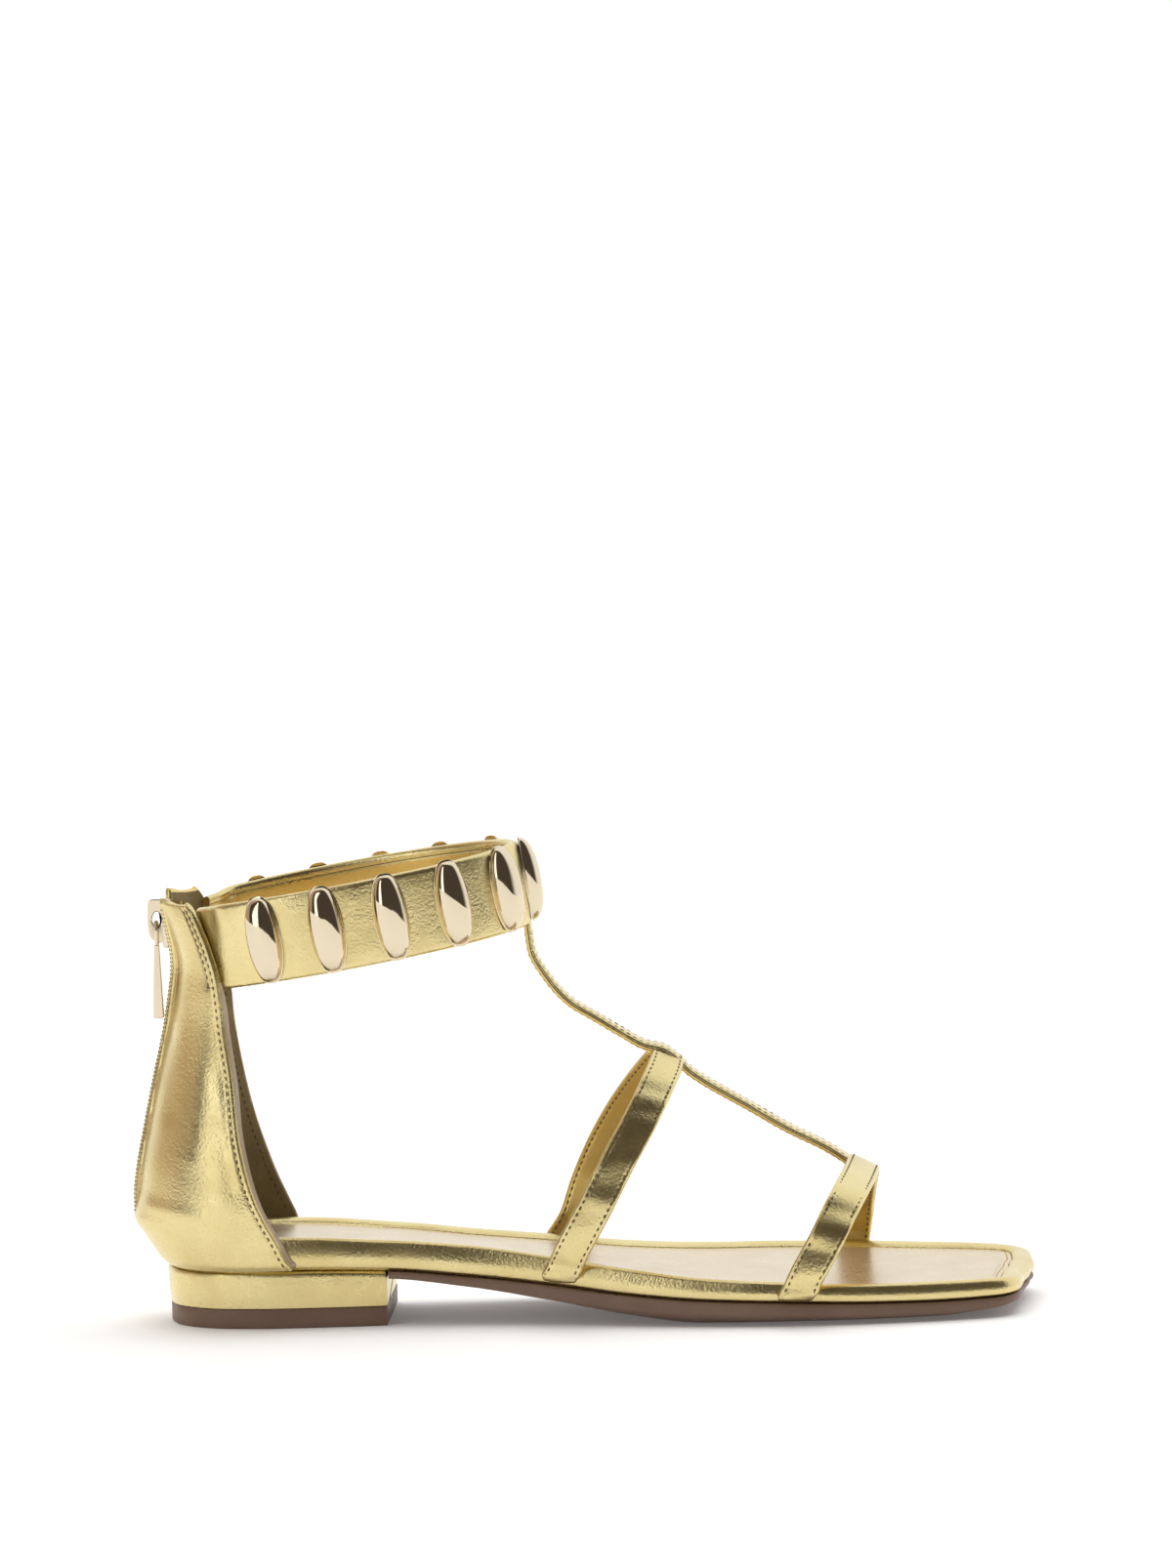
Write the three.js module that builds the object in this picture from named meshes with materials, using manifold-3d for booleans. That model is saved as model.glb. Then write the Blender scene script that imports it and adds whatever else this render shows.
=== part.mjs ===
// Flat gladiator sandal, right shoe: gold leather straps, studded ankle cuff and back zip.
// Millimetres and degrees. X runs to the toe, Y to the inner side of the foot, Z up.
// The origin lies on the floor under the middle of the heel.
import * as THREE from 'three';
import { mergeVertices } from 'three/addons/utils/BufferGeometryUtils.js';
import Module from 'manifold-3d';

const wasm = await Module();
wasm.setup();

// Sole
const soleLength = 241;
const heelBack = -31.6;
const ballWidth = 80;
const seatHeight = 16.4; // floor to the footbed's underside at the heel
const sideHeight = 9; // underside to rim crest at the heel
const rimWidth = 6;
const recessDepth = 2.6;
const sockThickness = 1;
const clearance = 0.3; // between pieces that meet along a curve
const flatInset = 0.3; // share of the half width between the sole's edge and its flat middle

// Heel
const heelOverhang = 0.8; // the heel stands out behind the footbed
const heelWidth = 51;
const liftHeight = 5.4;
const heelTaperWidth = 0.7;
const edgeRound = 0.6;

// Upper
const leatherThickness = 2.2; // wall of the two quarters
const strapWidth = 9.5;
const strapThickness = 2;
const strapCorner = 0.5;
const counterHeight = 101; // footbed's underside to the quarters' top edge
const counterWidth = 61;
const counterLength = 37; // from the back to the quarters' front edge, low down
const cuffHeight = 100.6; // floor to the band's lower edge, at the middle of its length
const cuffLength = 101;
const cuffWidth = 64;
const cuffMiddle = 22;
const bandHeight = 23.4;
const bandWall = 2.8;
const cuffPitch = 9.3; // front of the band higher
const cuffRoll = 1.8; // inner side higher
const cuffEnd = 152; // half of the arc that the band spans, the rest is quarters
const strapDrop = 72; // cuff's lower edge at the front down to the toe strap's top
const instepShare = 0.575; // of soleLength: where the centre strap crosses the instep strap
const seamDepth = 0.4; // how deep crossing straps are joined

// Studs
const studCount = 11;
const studPitch = 17.8;
const studShift = 2.4;
const studWidth = 9.8;
const studHeight = 23.4;
const studDome = 4.3;
const studEdge = 0.5;

// Zip
const slotWidth = 5;
const slotBottom = 30;
const chainThickness = 1.8;
const sliderHeight = 13.8;
const sliderWidth = 7;
const sliderDepth = 2.4;
const sliderBottom = 104.2;
const bridgeReach = 4.2;
const bridgeWidth = 1.3;
const bridgeBar = 1.2;
const bridgeHeight = 9;
const bridgeTop = sliderBottom + sliderHeight - clearance;
const pullLength = 27;
const pullTop = 2.4;
const pullEnd = 4.2;
const pullEdgeTop = 1.3;
const pullEdgeEnd = 2.6;
const eyeLength = 6.8;
const eyeGap = 2.3;

// Steps of the faceted surfaces
const stepsPerRow = 3;
const counterColumns = 13;
const cuffSteps = 60;
const studSides = 16;
const shortestEdge = 0.02;

// The outline of the footbed from the middle of the heel's back to the middle of the toe:
// X as shares of soleLength from heelBack, Y as shares of ballWidth
const outlineRows = [
  { outerX: 0.0, outerY: 0.0, innerX: 0.0, innerY: 0.0 },
  { outerX: 0.009, outerY: 0.131, innerX: 0.009, innerY: 0.131 },
  { outerX: 0.038, outerY: 0.241, innerX: 0.038, innerY: 0.241 },
  { outerX: 0.09, outerY: 0.312, innerX: 0.09, innerY: 0.312 },
  { outerX: 0.164, outerY: 0.334, innerX: 0.164, innerY: 0.334 },
  { outerX: 0.258, outerY: 0.329, innerX: 0.258, innerY: 0.315 },
  { outerX: 0.347, outerY: 0.337, innerX: 0.347, innerY: 0.31 },
  { outerX: 0.446, outerY: 0.381, innerX: 0.438, innerY: 0.335 },
  { outerX: 0.538, outerY: 0.446, innerX: 0.53, innerY: 0.385 },
  { outerX: 0.617, outerY: 0.495, innerX: 0.617, innerY: 0.441 },
  { outerX: 0.695, outerY: 0.519, innerX: 0.704, innerY: 0.475 },
  { outerX: 0.778, outerY: 0.512, innerX: 0.795, innerY: 0.479 },
  { outerX: 0.866, outerY: 0.477, innerX: 0.886, innerY: 0.437 },
  { outerX: 0.928, outerY: 0.432, innerX: 0.948, innerY: 0.387 },
  { outerX: 0.964, outerY: 0.387, innerX: 0.984, innerY: 0.341 },
  { outerX: 0.98, outerY: 0.306, innerX: 0.998, innerY: 0.256 },
  { outerX: 0.986, outerY: 0.156, innerX: 0.999, innerY: 0.112 },
  { outerX: 0.994, outerY: 0.0, innerX: 0.994, innerY: 0.0 },
];
const breastRow = 5; // the outline's row at the front of the heel

// Heights along the sole, x as a share of soleLength. bed: underside of the footbed, edge and
// keel: underside of the outsole at its rim and its middle, as shares of seatHeight.
// outer and inner: the rim's height above bed, as shares of sideHeight.
const heightRows = [
  { x: 0.0, bed: 1.0, edge: 0.86, keel: 0.84, outer: 1.04, inner: 1.02 },
  { x: 0.17, bed: 0.99, edge: 0.85, keel: 0.83, outer: 0.99, inner: 0.91 },
  { x: 0.258, bed: 0.955, edge: 0.82, keel: 0.8, outer: 0.92, inner: 0.81 },
  { x: 0.347, bed: 0.84, edge: 0.665, keel: 0.64, outer: 0.94, inner: 0.77 },
  { x: 0.442, bed: 0.695, edge: 0.45, keel: 0.39, outer: 0.86, inner: 0.76 },
  { x: 0.534, bed: 0.53, edge: 0.275, keel: 0.135, outer: 0.78, inner: 0.75 },
  { x: 0.617, bed: 0.445, edge: 0.2, keel: 0.0, outer: 0.67, inner: 0.74 },
  { x: 0.704, bed: 0.405, edge: 0.165, keel: 0.0, outer: 0.61, inner: 0.76 },
  { x: 0.795, bed: 0.36, edge: 0.14, keel: 0.0, outer: 0.57, inner: 0.79 },
  { x: 0.886, bed: 0.34, edge: 0.13, keel: 0.012, outer: 0.58, inner: 0.78 },
  { x: 0.949, bed: 0.355, edge: 0.18, keel: 0.11, outer: 0.55, inner: 0.73 },
  { x: 1.0, bed: 0.42, edge: 0.33, keel: 0.31, outer: 0.42, inner: 0.5 },
];

// Side of the footbed from its underside over the rim to the recess:
// inset from the outline as a share of rimWidth, up as a share of the side's height
const rimRows = [
  { inset: 0.26, up: 0.0 },
  { inset: 0.05, up: 0.14 },
  { inset: 0.0, up: 0.42 },
  { inset: 0.06, up: 0.72 },
  { inset: 0.2, up: 0.93 },
  { inset: 0.42, up: 1.0 },
  { inset: 0.72, up: 0.95 },
  { inset: 0.95, up: 0.83 },
];

// The heel's plan from its back to the breast: x share of its length, y of heelWidth
const heelRows = [
  { x: 0.0, y: 0.0 },
  { x: 0.032, y: 0.2 },
  { x: 0.125, y: 0.357 },
  { x: 0.29, y: 0.465 },
  { x: 0.53, y: 0.5 },
  { x: 0.77, y: 0.488 },
  { x: 1.0, y: 0.457 },
];

// The quarters by height, z as a share of counterHeight above the footbed's underside.
// back: the back profile from heelBack, outer and inner: the two front edges from heelBack,
// middle: where the section is widest, as shares of counterLength; half: of counterWidth
const counterRows = [
  { z: 0.0, back: -0.024, outer: 0.976, inner: 0.93, middle: 0.7, half: 0.453 },
  { z: 0.016, back: -0.07, outer: 0.95, inner: 0.92, middle: 0.7, half: 0.473 },
  { z: 0.04, back: -0.115, outer: 0.915, inner: 0.9, middle: 0.7, half: 0.48 },
  { z: 0.077, back: -0.181, outer: 0.87, inner: 0.884, middle: 0.7, half: 0.488 },
  { z: 0.132, back: -0.265, outer: 0.79, inner: 0.82, middle: 0.71, half: 0.496 },
  { z: 0.181, back: -0.262, outer: 0.73, inner: 0.76, middle: 0.73, half: 0.5 },
  { z: 0.25, back: -0.241, outer: 0.668, inner: 0.684, middle: 0.77, half: 0.5 },
  { z: 0.38, back: -0.17, outer: 0.596, inner: 0.572, middle: 0.88, half: 0.492 },
  { z: 0.52, back: -0.086, outer: 0.56, inner: 0.49, middle: 1.04, half: 0.484 },
  { z: 0.655, back: 0.0, outer: 0.505, inner: 0.435, middle: 1.22, half: 0.5 },
  { z: 0.79, back: 0.062, outer: 0.463, inner: 0.41, middle: 1.4, half: 0.545 },
  { z: 0.87, back: 0.09, outer: 0.41, inner: 0.375, middle: 1.45, half: 0.566 },
  { z: 0.94, back: 0.103, outer: 0.345, inner: 0.32, middle: 1.45, half: 0.566 },
  { z: 1.0, back: 0.116, outer: 0.275, inner: 0.26, middle: 1.45, half: 0.566 },
];

// The centre strap from the cuff down to the toe strap: x share of soleLength from heelBack,
// y share of ballWidth, drop share of strapDrop below the cuff's lower edge at the front
const centreRows = [
  { x: 0.4228, y: 0.0, drop: -0.075 },
  { x: 0.422, y: 0.0, drop: 0.015 },
  { x: 0.4275, y: 0.0, drop: 0.103 },
  { x: 0.4452, y: 0.001, drop: 0.212 },
  { x: 0.469, y: 0.002, drop: 0.303 },
  { x: 0.498, y: 0.004, drop: 0.366 },
  { x: 0.5286, y: 0.006, drop: 0.43 },
  { x: 0.5544, y: 0.008, drop: 0.48 },
  { x: 0.5755, y: 0.01, drop: 0.498 },
  { x: 0.591, y: 0.012, drop: 0.535 },
  { x: 0.604, y: 0.013, drop: 0.581 },
  { x: 0.623, y: 0.015, drop: 0.627 },
  { x: 0.675, y: 0.021, drop: 0.731 },
  { x: 0.717, y: 0.027, drop: 0.817 },
  { x: 0.76, y: 0.032, drop: 0.892 },
  { x: 0.796, y: 0.036, drop: 0.972 },
];

// The two cross straps from the outer to the inner side: x share of soleLength from heelBack,
// y share of ballWidth, z share of the height of the strap's crown
const instepStrap = {
  outerFoot: 0.4635,
  innerFoot: 0.4525,
  rows: [
    { x: 0.469, y: -0.429, z: 0.291 },
    { x: 0.5, y: -0.444, z: 0.48 },
    { x: 0.525, y: -0.406, z: 0.638 },
    { x: 0.5515, y: -0.325, z: 0.79 },
    { x: 0.569, y: -0.219, z: 0.9 },
    { x: 0.5795, y: -0.1, z: 0.9715 },
    { x: 0.582, y: 0.0, z: 1.0 },
    { x: 0.577, y: 0.081, z: 0.986 },
    { x: 0.5565, y: 0.169, z: 0.903 },
    { x: 0.5245, y: 0.279, z: 0.748 },
    { x: 0.4987, y: 0.354, z: 0.592 },
    { x: 0.4797, y: 0.3875, z: 0.446 },
    { x: 0.465, y: 0.385, z: 0.307 },
  ],
};
const toeStrap = {
  outerFoot: 0.7295,
  innerFoot: 0.7888,
  rows: [
    { x: 0.7375, y: -0.543, z: 0.374 },
    { x: 0.7568, y: -0.533, z: 0.577 },
    { x: 0.778, y: -0.444, z: 0.81 },
    { x: 0.795, y: -0.2625, z: 0.95 },
    { x: 0.8033, y: -0.05, z: 1.0 },
    { x: 0.8046, y: 0.05, z: 0.99 },
    { x: 0.8033, y: 0.1875, z: 0.912 },
    { x: 0.7995, y: 0.3375, z: 0.752 },
    { x: 0.7955, y: 0.454, z: 0.555 },
    { x: 0.7915, y: 0.496, z: 0.387 },
  ],
};
const crownTilt = 0.5; // how far the top of the foot leans to the toe, as a slope
const footLean = 0.55; // how far a cross strap leans to the toe as it rises over the footbed's side
const footAxis = 0.3; // height of the foot's axis as a share of a strap's crown

const goldLeather = { color: 0xcdb15a, roughness: 0.35, metalness: 0.75 };
const goldLining = { color: 0xc9a44a, roughness: 0.5, metalness: 0.5 };
const brownSole = { color: 0x70564a, roughness: 0.6, metalness: 0 };
const champagne = { color: 0xe6d3ae, roughness: 0.12, metalness: 1 };

// A smooth curve through a table's rows that never overshoots between two of them
function slope(rows, key, column, i) {
  const place = (k) => (key ? rows[k][key] : k);
  const before = (rows[i][column] - rows[i - 1][column]) / (place(i) - place(i - 1));
  const after = (rows[i + 1][column] - rows[i][column]) / (place(i + 1) - place(i));
  return before * after <= 0 ? 0 : (2 * before * after) / (before + after);
}

function along(rows, key, column, at) {
  const place = (k) => (key ? rows[k][key] : k);
  let i = 0;
  while (i < rows.length - 2 && at > place(i + 1)) i += 1;
  const step = place(i + 1) - place(i);
  const t = THREE.MathUtils.clamp((at - place(i)) / step, 0, 1);
  const rise = rows[i + 1][column] - rows[i][column];
  const first = i === 0 ? rise / step : slope(rows, key, column, i);
  const last = i === rows.length - 2 ? rise / step : slope(rows, key, column, i + 1);
  const h = t * t * (3 - 2 * t);
  return rows[i][column] + rise * h + step * (first * t * (1 - t) ** 2 - last * t * t * (1 - t));
}

const lengthShare = (x) => (x - heelBack) / soleLength;
const bedAt = (x) => seatHeight * along(heightRows, 'x', 'bed', lengthShare(x));
const soleEdgeAt = (x) => seatHeight * along(heightRows, 'x', 'edge', lengthShare(x));
const keelAt = (x) => seatHeight * along(heightRows, 'x', 'keel', lengthShare(x));
const vector = (x, y, z) => new THREE.Vector3(x, y, z);

function rimHeightAt(x, y) {
  const outer = along(heightRows, 'x', 'outer', lengthShare(x));
  const inner = along(heightRows, 'x', 'inner', lengthShare(x));
  const across = THREE.MathUtils.smoothstep(y, -ballWidth / 4, ballWidth / 4);
  return sideHeight * (outer + (inner - outer) * across);
}

// A point of the outline, its outward direction, and the point moved in by an inset
function outlinePoint(side, row, inset = 0) {
  const sign = side === 'outer' ? -1 : 1;
  const at = (r) => {
    const x = heelBack + soleLength * along(outlineRows, null, `${side}X`, r);
    return new THREE.Vector2(x, sign * ballWidth * along(outlineRows, null, `${side}Y`, r));
  };
  const last = outlineRows.length - 1;
  const ahead = at(Math.min(row + 0.05, last)).sub(at(Math.max(row - 0.05, 0)));
  const out = new THREE.Vector2(-sign * ahead.y, sign * ahead.x).normalize();
  if (row === 0) out.set(-1, 0);
  if (row === last) out.set(1, 0);
  return { point: at(row).addScaledVector(out, -inset), out };
}

// Row number at which a side of the outline passes a length
function rowAt(side, x) {
  let low = 0;
  let high = outlineRows.length - 4;
  const halvings = 40;
  for (let i = 0; i < halvings; i += 1) {
    const middle = (low + high) / 2;
    if (outlinePoint(side, middle).point.x < x) low = middle;
    else high = middle;
  }
  return (low + high) / 2;
}

// A closed ring round the outline, outer side first, and the pairs that its caps join
function outlineRing(inset, firstRow, height) {
  const last = outlineRows.length - 1;
  const count = (last - firstRow) * stepsPerRow;
  const side = (name) => Array.from({ length: count + 1 }, (_, i) => {
    const { point } = outlinePoint(name, firstRow + i / stepsPerRow, inset);
    if (firstRow > 0 && i === 0) point.x = outlinePoint(name, firstRow).point.x;
    return vector(point.x, point.y, height(point.x, point.y));
  });
  const outer = side('outer');
  const inner = side('inner');
  return outer.concat(inner.slice(firstRow === 0 ? 1 : 0, count).reverse());
}

function solidFrom(points, faces) {
  const kept = faces.filter(([a, b, c]) => a !== b && b !== c && a !== c);
  let volume = 0;
  for (const [a, b, c] of kept) volume += points[a].dot(points[b].clone().cross(points[c]));
  const index = kept.flatMap(([a, b, c]) => (volume > 0 ? [a, b, c] : [a, c, b]));
  const geometry = new THREE.BufferGeometry();
  const position = points.flatMap((p) => [p.x, p.y, p.z]);
  geometry.setAttribute('position', new THREE.Float32BufferAttribute(position, 3));
  geometry.setIndex(index);
  return geometry;
}

// Rings joined one to the next; caps pair the ring's two sides like the rungs of a ladder
function ringSolid(rings, sharedStart) {
  const count = rings[0].length;
  const faces = [];
  rings.slice(1).forEach((_, level) => {
    for (let i = 0; i < count; i += 1) {
      const a = level * count + i;
      const b = level * count + ((i + 1) % count);
      faces.push([a, b, b + count], [a, b + count, a + count]);
    }
  });
  const half = Math.floor(count / 2);
  const partner = (i) => (sharedStart ? (count - i) % count : count - 1 - i);
  const capFaces = (base, flip) => {
    for (let i = 0; i < half; i += 1) {
      const quad = [i, i + 1, partner(i + 1), partner(i)].map((k) => base + k);
      const [a, b, c, d] = flip ? quad.reverse() : quad;
      faces.push([a, b, c], [a, c, d]);
    }
  };
  capFaces(0, true);
  capFaces((rings.length - 1) * count, false);
  return solidFrom(rings.flat(), faces);
}

// Sections in a row, each listed so that its first half faces its second half
const loft = (sections) => ringSolid(sections, false);

const softCorners = (width, thickness, corner) => {
  const [w, t] = [width / 2, thickness / 2];
  return [
    [w, t - corner], [w - corner, t], [corner - w, t], [-w, t - corner],
    [-w, corner - t], [corner - w, -t], [w - corner, -t], [w, corner - t],
  ];
};

function ribbon(stations, width, thickness) {
  const corners = softCorners(width, thickness, strapCorner);
  return loft(stations.map(({ point, normal }, i) => {
    const before = stations[Math.max(i - 1, 0)].point;
    const after = stations[Math.min(i + 1, stations.length - 1)].point;
    const ahead = after.clone().sub(before).normalize();
    const up = normal.clone().addScaledVector(ahead, -normal.dot(ahead)).normalize();
    const across = ahead.clone().cross(up);
    return corners.map(([a, b]) => point.clone().addScaledVector(across, a).addScaledVector(up, b));
  }));
}

function toSolid(geometry) {
  const bare = geometry.clone();
  bare.deleteAttribute('normal');
  bare.deleteAttribute('uv');
  const merged = mergeVertices(bare, 1e-4);
  const vertProperties = new Float32Array(merged.attributes.position.array);
  const triVerts = new Uint32Array(merged.index.array);
  return new wasm.Manifold(new wasm.Mesh({ numProp: 3, vertProperties, triVerts }));
}

// A join leaves some edges far shorter than anything real; each is closed up to one corner
function toGeometry(solid) {
  const { vertProperties, triVerts } = solid.getMesh();
  const points = Array.from({ length: vertProperties.length / 3 }, (_, i) => (
    vector(...vertProperties.slice(3 * i, 3 * i + 3))));
  const faces = Array.from({ length: triVerts.length / 3 }, (_, i) => (
    [...triVerts.slice(3 * i, 3 * i + 3)]));
  const kept = points.map((_, i) => i);
  const root = (i) => (kept[i] === i ? i : root(kept[i]));
  for (const face of faces) {
    face.forEach((a, k) => {
      const [first, second] = [root(a), root(face[(k + 1) % 3])];
      if (points[first].distanceTo(points[second]) < shortestEdge) kept[second] = first;
    });
  }
  return solidFrom(points, faces.map((face) => face.map(root)));
}

function block(sizeX, sizeY, sizeZ, x, y, z) {
  return toSolid(new THREE.BoxGeometry(sizeX, sizeY, sizeZ).translate(x, y, z));
}

// Heel: it ends just behind the outsole's back edge
function heelRing(inset, height) {
  const last = heelRows.length - 1;
  const count = last * stepsPerRow;
  const back = heelBack - heelOverhang;
  const heelLength = outlinePoint('outer', breastRow).point.x - 2 * clearance - back;
  const side = (sign) => Array.from({ length: count + 1 }, (_, i) => {
    const row = i / stepsPerRow;
    const place = (r) => {
      const x = back + heelLength * along(heelRows, null, 'x', r);
      return new THREE.Vector2(x, sign * heelWidth * along(heelRows, null, 'y', r));
    };
    const ahead = place(Math.min(row + 0.05, last)).sub(place(Math.max(row - 0.05, 0)));
    const out = new THREE.Vector2(-sign * ahead.y, sign * ahead.x).normalize();
    if (i === 0) out.set(-1, 0);
    const point = place(row).addScaledVector(out, -inset);
    if (i === count) point.x = place(row).x;
    return vector(point.x, point.y, height(point.x));
  });
  return side(-1).concat(side(1).slice(1).reverse());
}

function topLift() {
  const taper = heelTaperWidth;
  return ringSolid([
    heelRing(taper + edgeRound, () => 0),
    heelRing(taper + edgeRound / 3, () => edgeRound),
    heelRing(taper, () => liftHeight),
  ], true);
}

function heelBlock() {
  const top = (x) => bedAt(x) - clearance;
  return ringSolid([
    heelRing(heelTaperWidth, () => liftHeight),
    heelRing(heelTaperWidth / 4, (x) => top(x) - 3 * edgeRound),
    heelRing(0, (x) => top(x) - edgeRound),
    heelRing(edgeRound, top),
  ], true);
}

// Sole: the rings of its underside are the outline drawn in towards the middle
function drawnIn(share, height) {
  const start = outlinePoint('outer', breastRow).point.x;
  const lengthKept = 1 - (share * ballWidth) / 2 / (heelBack + soleLength - start);
  return outlineRing(0, breastRow, () => 0).map(({ x, y }) => {
    const moved = start + (x - start) * lengthKept;
    return vector(moved, y * (1 - share), height(moved));
  });
}

function outsole() {
  const ring = (inset, height) => outlineRing(inset, breastRow, height);
  const mix = (share) => (x) => soleEdgeAt(x) + share * (keelAt(x) - soleEdgeAt(x));
  return ringSolid([
    drawnIn(flatInset, keelAt),
    drawnIn(flatInset / 2, mix(0.72)),
    ring(2.5 * edgeRound, mix(0.22)),
    ring(edgeRound, mix(0)),
    ring(edgeRound / 2, (x) => bedAt(x) - clearance - edgeRound),
    ring(edgeRound, (x) => bedAt(x) - clearance),
  ], false);
}

function footbedBlank() {
  const rings = rimRows.map(({ inset, up }) => outlineRing(
    inset * rimWidth,
    0,
    (x, y) => bedAt(x) + up * rimHeightAt(x, y),
  ));
  const floor = (x, y) => bedAt(x) + rimHeightAt(x, y) - recessDepth;
  return toSolid(ringSolid(rings.concat([outlineRing(rimWidth, 0, floor)]), true));
}

function sockLining() {
  const inset = rimWidth + clearance;
  const base = (x, y) => bedAt(x) + rimHeightAt(x, y) - recessDepth + clearance;
  const top = (x, y) => base(x, y) + sockThickness;
  return ringSolid([
    outlineRing(inset, 0, base),
    outlineRing(inset, 0, (x, y) => top(x, y) - sockThickness / 3),
    outlineRing(inset + sockThickness / 3, 0, top),
  ], true);
}

// Quarters
const counterTable = (column, share) => along(counterRows, 'z', column, share);

function counterPoint(share, turn) {
  const x = (column) => heelBack + counterLength * counterTable(column, share);
  const [back, middle] = [x('back'), x('middle')];
  const front = x(turn < 0 ? 'outer' : 'inner');
  const reach = middle - back;
  const full = front < middle
    ? Math.acos((middle - front) / reach)
    : Math.PI / 2 + (front - middle) / reach;
  const angle = full * Math.abs(turn);
  const half = counterWidth * counterTable('half', share);
  const past = angle > Math.PI / 2;
  return vector(
    past ? middle + reach * (angle - Math.PI / 2) : middle - reach * Math.cos(angle),
    Math.sign(turn) * half * (past ? 1 : Math.sin(angle)),
    seatHeight + counterHeight * share,
  );
}

function counterNormal(share, turn) {
  const step = 0.004;
  const low = counterPoint(Math.max(share - step, 0), turn);
  const high = counterPoint(Math.min(share + step, 1), turn);
  const left = counterPoint(share, Math.max(turn - step, -1));
  const right = counterPoint(share, Math.min(turn + step, 1));
  return high.sub(low).cross(right.sub(left)).normalize();
}

function quarters() {
  const levels = counterRows.flatMap((row, i) => {
    const next = counterRows[i + 1];
    return next && next.z - row.z > 0.1 ? [row.z, (row.z + next.z) / 2] : [row.z];
  });
  const turns = Array.from({ length: 2 * counterColumns + 1 }, (_, i) => i / counterColumns - 1);
  return toSolid(loft(turns.map((turn) => {
    const outside = levels.map((share) => counterPoint(share, turn));
    const inside = levels.map((share) => {
      const point = counterPoint(share, turn);
      const moved = point.clone().addScaledVector(counterNormal(share, turn), -leatherThickness);
      moved.z = point.z;
      return moved;
    });
    return outside.concat(inside.reverse());
  })));
}

// Cuff: its own frame, tipped up at the front and on the inner side
const cuffTurn = new THREE.Euler(
  THREE.MathUtils.degToRad(cuffRoll),
  THREE.MathUtils.degToRad(-cuffPitch),
  0,
);

function cuffPoint(angle, out, up) {
  const [a, b] = [cuffLength / 2, cuffWidth / 2];
  const normal = vector(b * Math.cos(angle), a * Math.sin(angle), 0).normalize();
  const point = vector(a * Math.cos(angle), b * Math.sin(angle), up).addScaledVector(normal, out);
  return point.applyEuler(cuffTurn).add(vector(cuffMiddle, 0, cuffHeight));
}

// Angle at which a length along the band is reached from its front
function cuffAngle(length) {
  const [a, b] = [cuffLength / 2, cuffWidth / 2];
  const steps = 400;
  let angle = 0;
  for (let i = 0; i < steps; i += 1) {
    angle += length / steps / Math.hypot(a * Math.sin(angle), b * Math.cos(angle));
  }
  return angle;
}

function cuffBand() {
  const corners = softCorners(bandWall, bandHeight, bandWall / 3);
  const end = THREE.MathUtils.degToRad(cuffEnd);
  return toSolid(loft(Array.from({ length: cuffSteps + 1 }, (_, i) => {
    const angle = end * (2 * (i / cuffSteps) - 1);
    return corners.map(([a, b]) => cuffPoint(angle, a - bandWall / 2, b + bandHeight / 2));
  })));
}

// Straps
const cuffFront = cuffPoint(0, -bandWall / 2, 0);
const cuffTop = cuffPoint(0, -bandWall / 2, bandHeight);
const strapStart = 0.05; // the rows above this drop lie inside the band's wall
const centreHeight = (row) => cuffFront.z - strapDrop * row.drop;

function centreStrapZ(share) {
  const rows = centreRows.slice(2).map((row) => ({ x: row.x, z: centreHeight(row) }));
  return along(rows, 'x', 'z', share);
}

function smoothRoute(rows, steps) {
  const spans = (rows.length - 1) * steps;
  return Array.from({ length: spans + 1 }, (_, i) => {
    const value = (column) => along(rows, null, column, i / steps);
    return {
      point: vector(value('x'), value('y'), value('z')),
      normal: vector(value('nx'), value('ny'), value('nz')).normalize(),
    };
  });
}

function centreStrap() {
  const lean = (cuffTop.x - cuffFront.x) / (cuffTop.z - cuffFront.z);
  return smoothRoute(centreRows.map((row) => {
    const z = centreHeight(row);
    const inWall = row.drop < strapStart;
    return {
      x: inWall ? cuffFront.x + (z - cuffFront.z) * lean : heelBack + soleLength * row.x,
      y: ballWidth * row.y,
      z,
      nx: 1,
      ny: 0,
      nz: 1,
    };
  }), 2);
}

// The end of a strap lies on the footbed's side and turns in under it
function strapFoot(side, share) {
  const rim = heelBack + soleLength * share;
  const height = rimHeightAt(rim, outlinePoint(side, rowAt(side, rim)).point.y);
  const up = (part) => bedAt(rim) + part * height;
  const away = clearance + strapThickness / 2;
  const lowest = bedAt(rim - footLean * height - strapWidth / 2);
  const station = (inset, z, down) => {
    const x = rim - footLean * (up(0.82) - z);
    const { point, out } = outlinePoint(side, rowAt(side, x), inset);
    return { x: point.x, y: point.y, z, nx: out.x, ny: out.y, nz: -down };
  };
  return [
    station(0.4 * strapThickness, lowest + 0.6 * strapThickness, 1),
    station(-0.6 * away, lowest + 1.25 * strapThickness, 0.3),
    station(-away, up(0.55), 0),
    station(-away, up(0.82), 0),
  ];
}

function crossStrap(strap, crown) {
  const free = strap.rows.map((row) => {
    const z = crown * row.z;
    const rise = Math.max(row.z - footAxis, 0);
    return {
      x: heelBack + soleLength * row.x,
      y: ballWidth * row.y,
      z,
      nx: crownTilt * rise,
      ny: row.y,
      nz: rise,
    };
  });
  return smoothRoute([
    ...strapFoot('outer', strap.outerFoot),
    ...free,
    ...strapFoot('inner', strap.innerFoot).reverse(),
  ], 2);
}

const instepCrown = centreStrapZ(instepShare) - strapThickness + seamDepth;
const toeCrown = centreHeight(centreRows.at(-1)) + strapThickness * 0.4;
const instepRoute = crossStrap(instepStrap, instepCrown);
const toeRoute = crossStrap(toeStrap, toeCrown);

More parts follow.
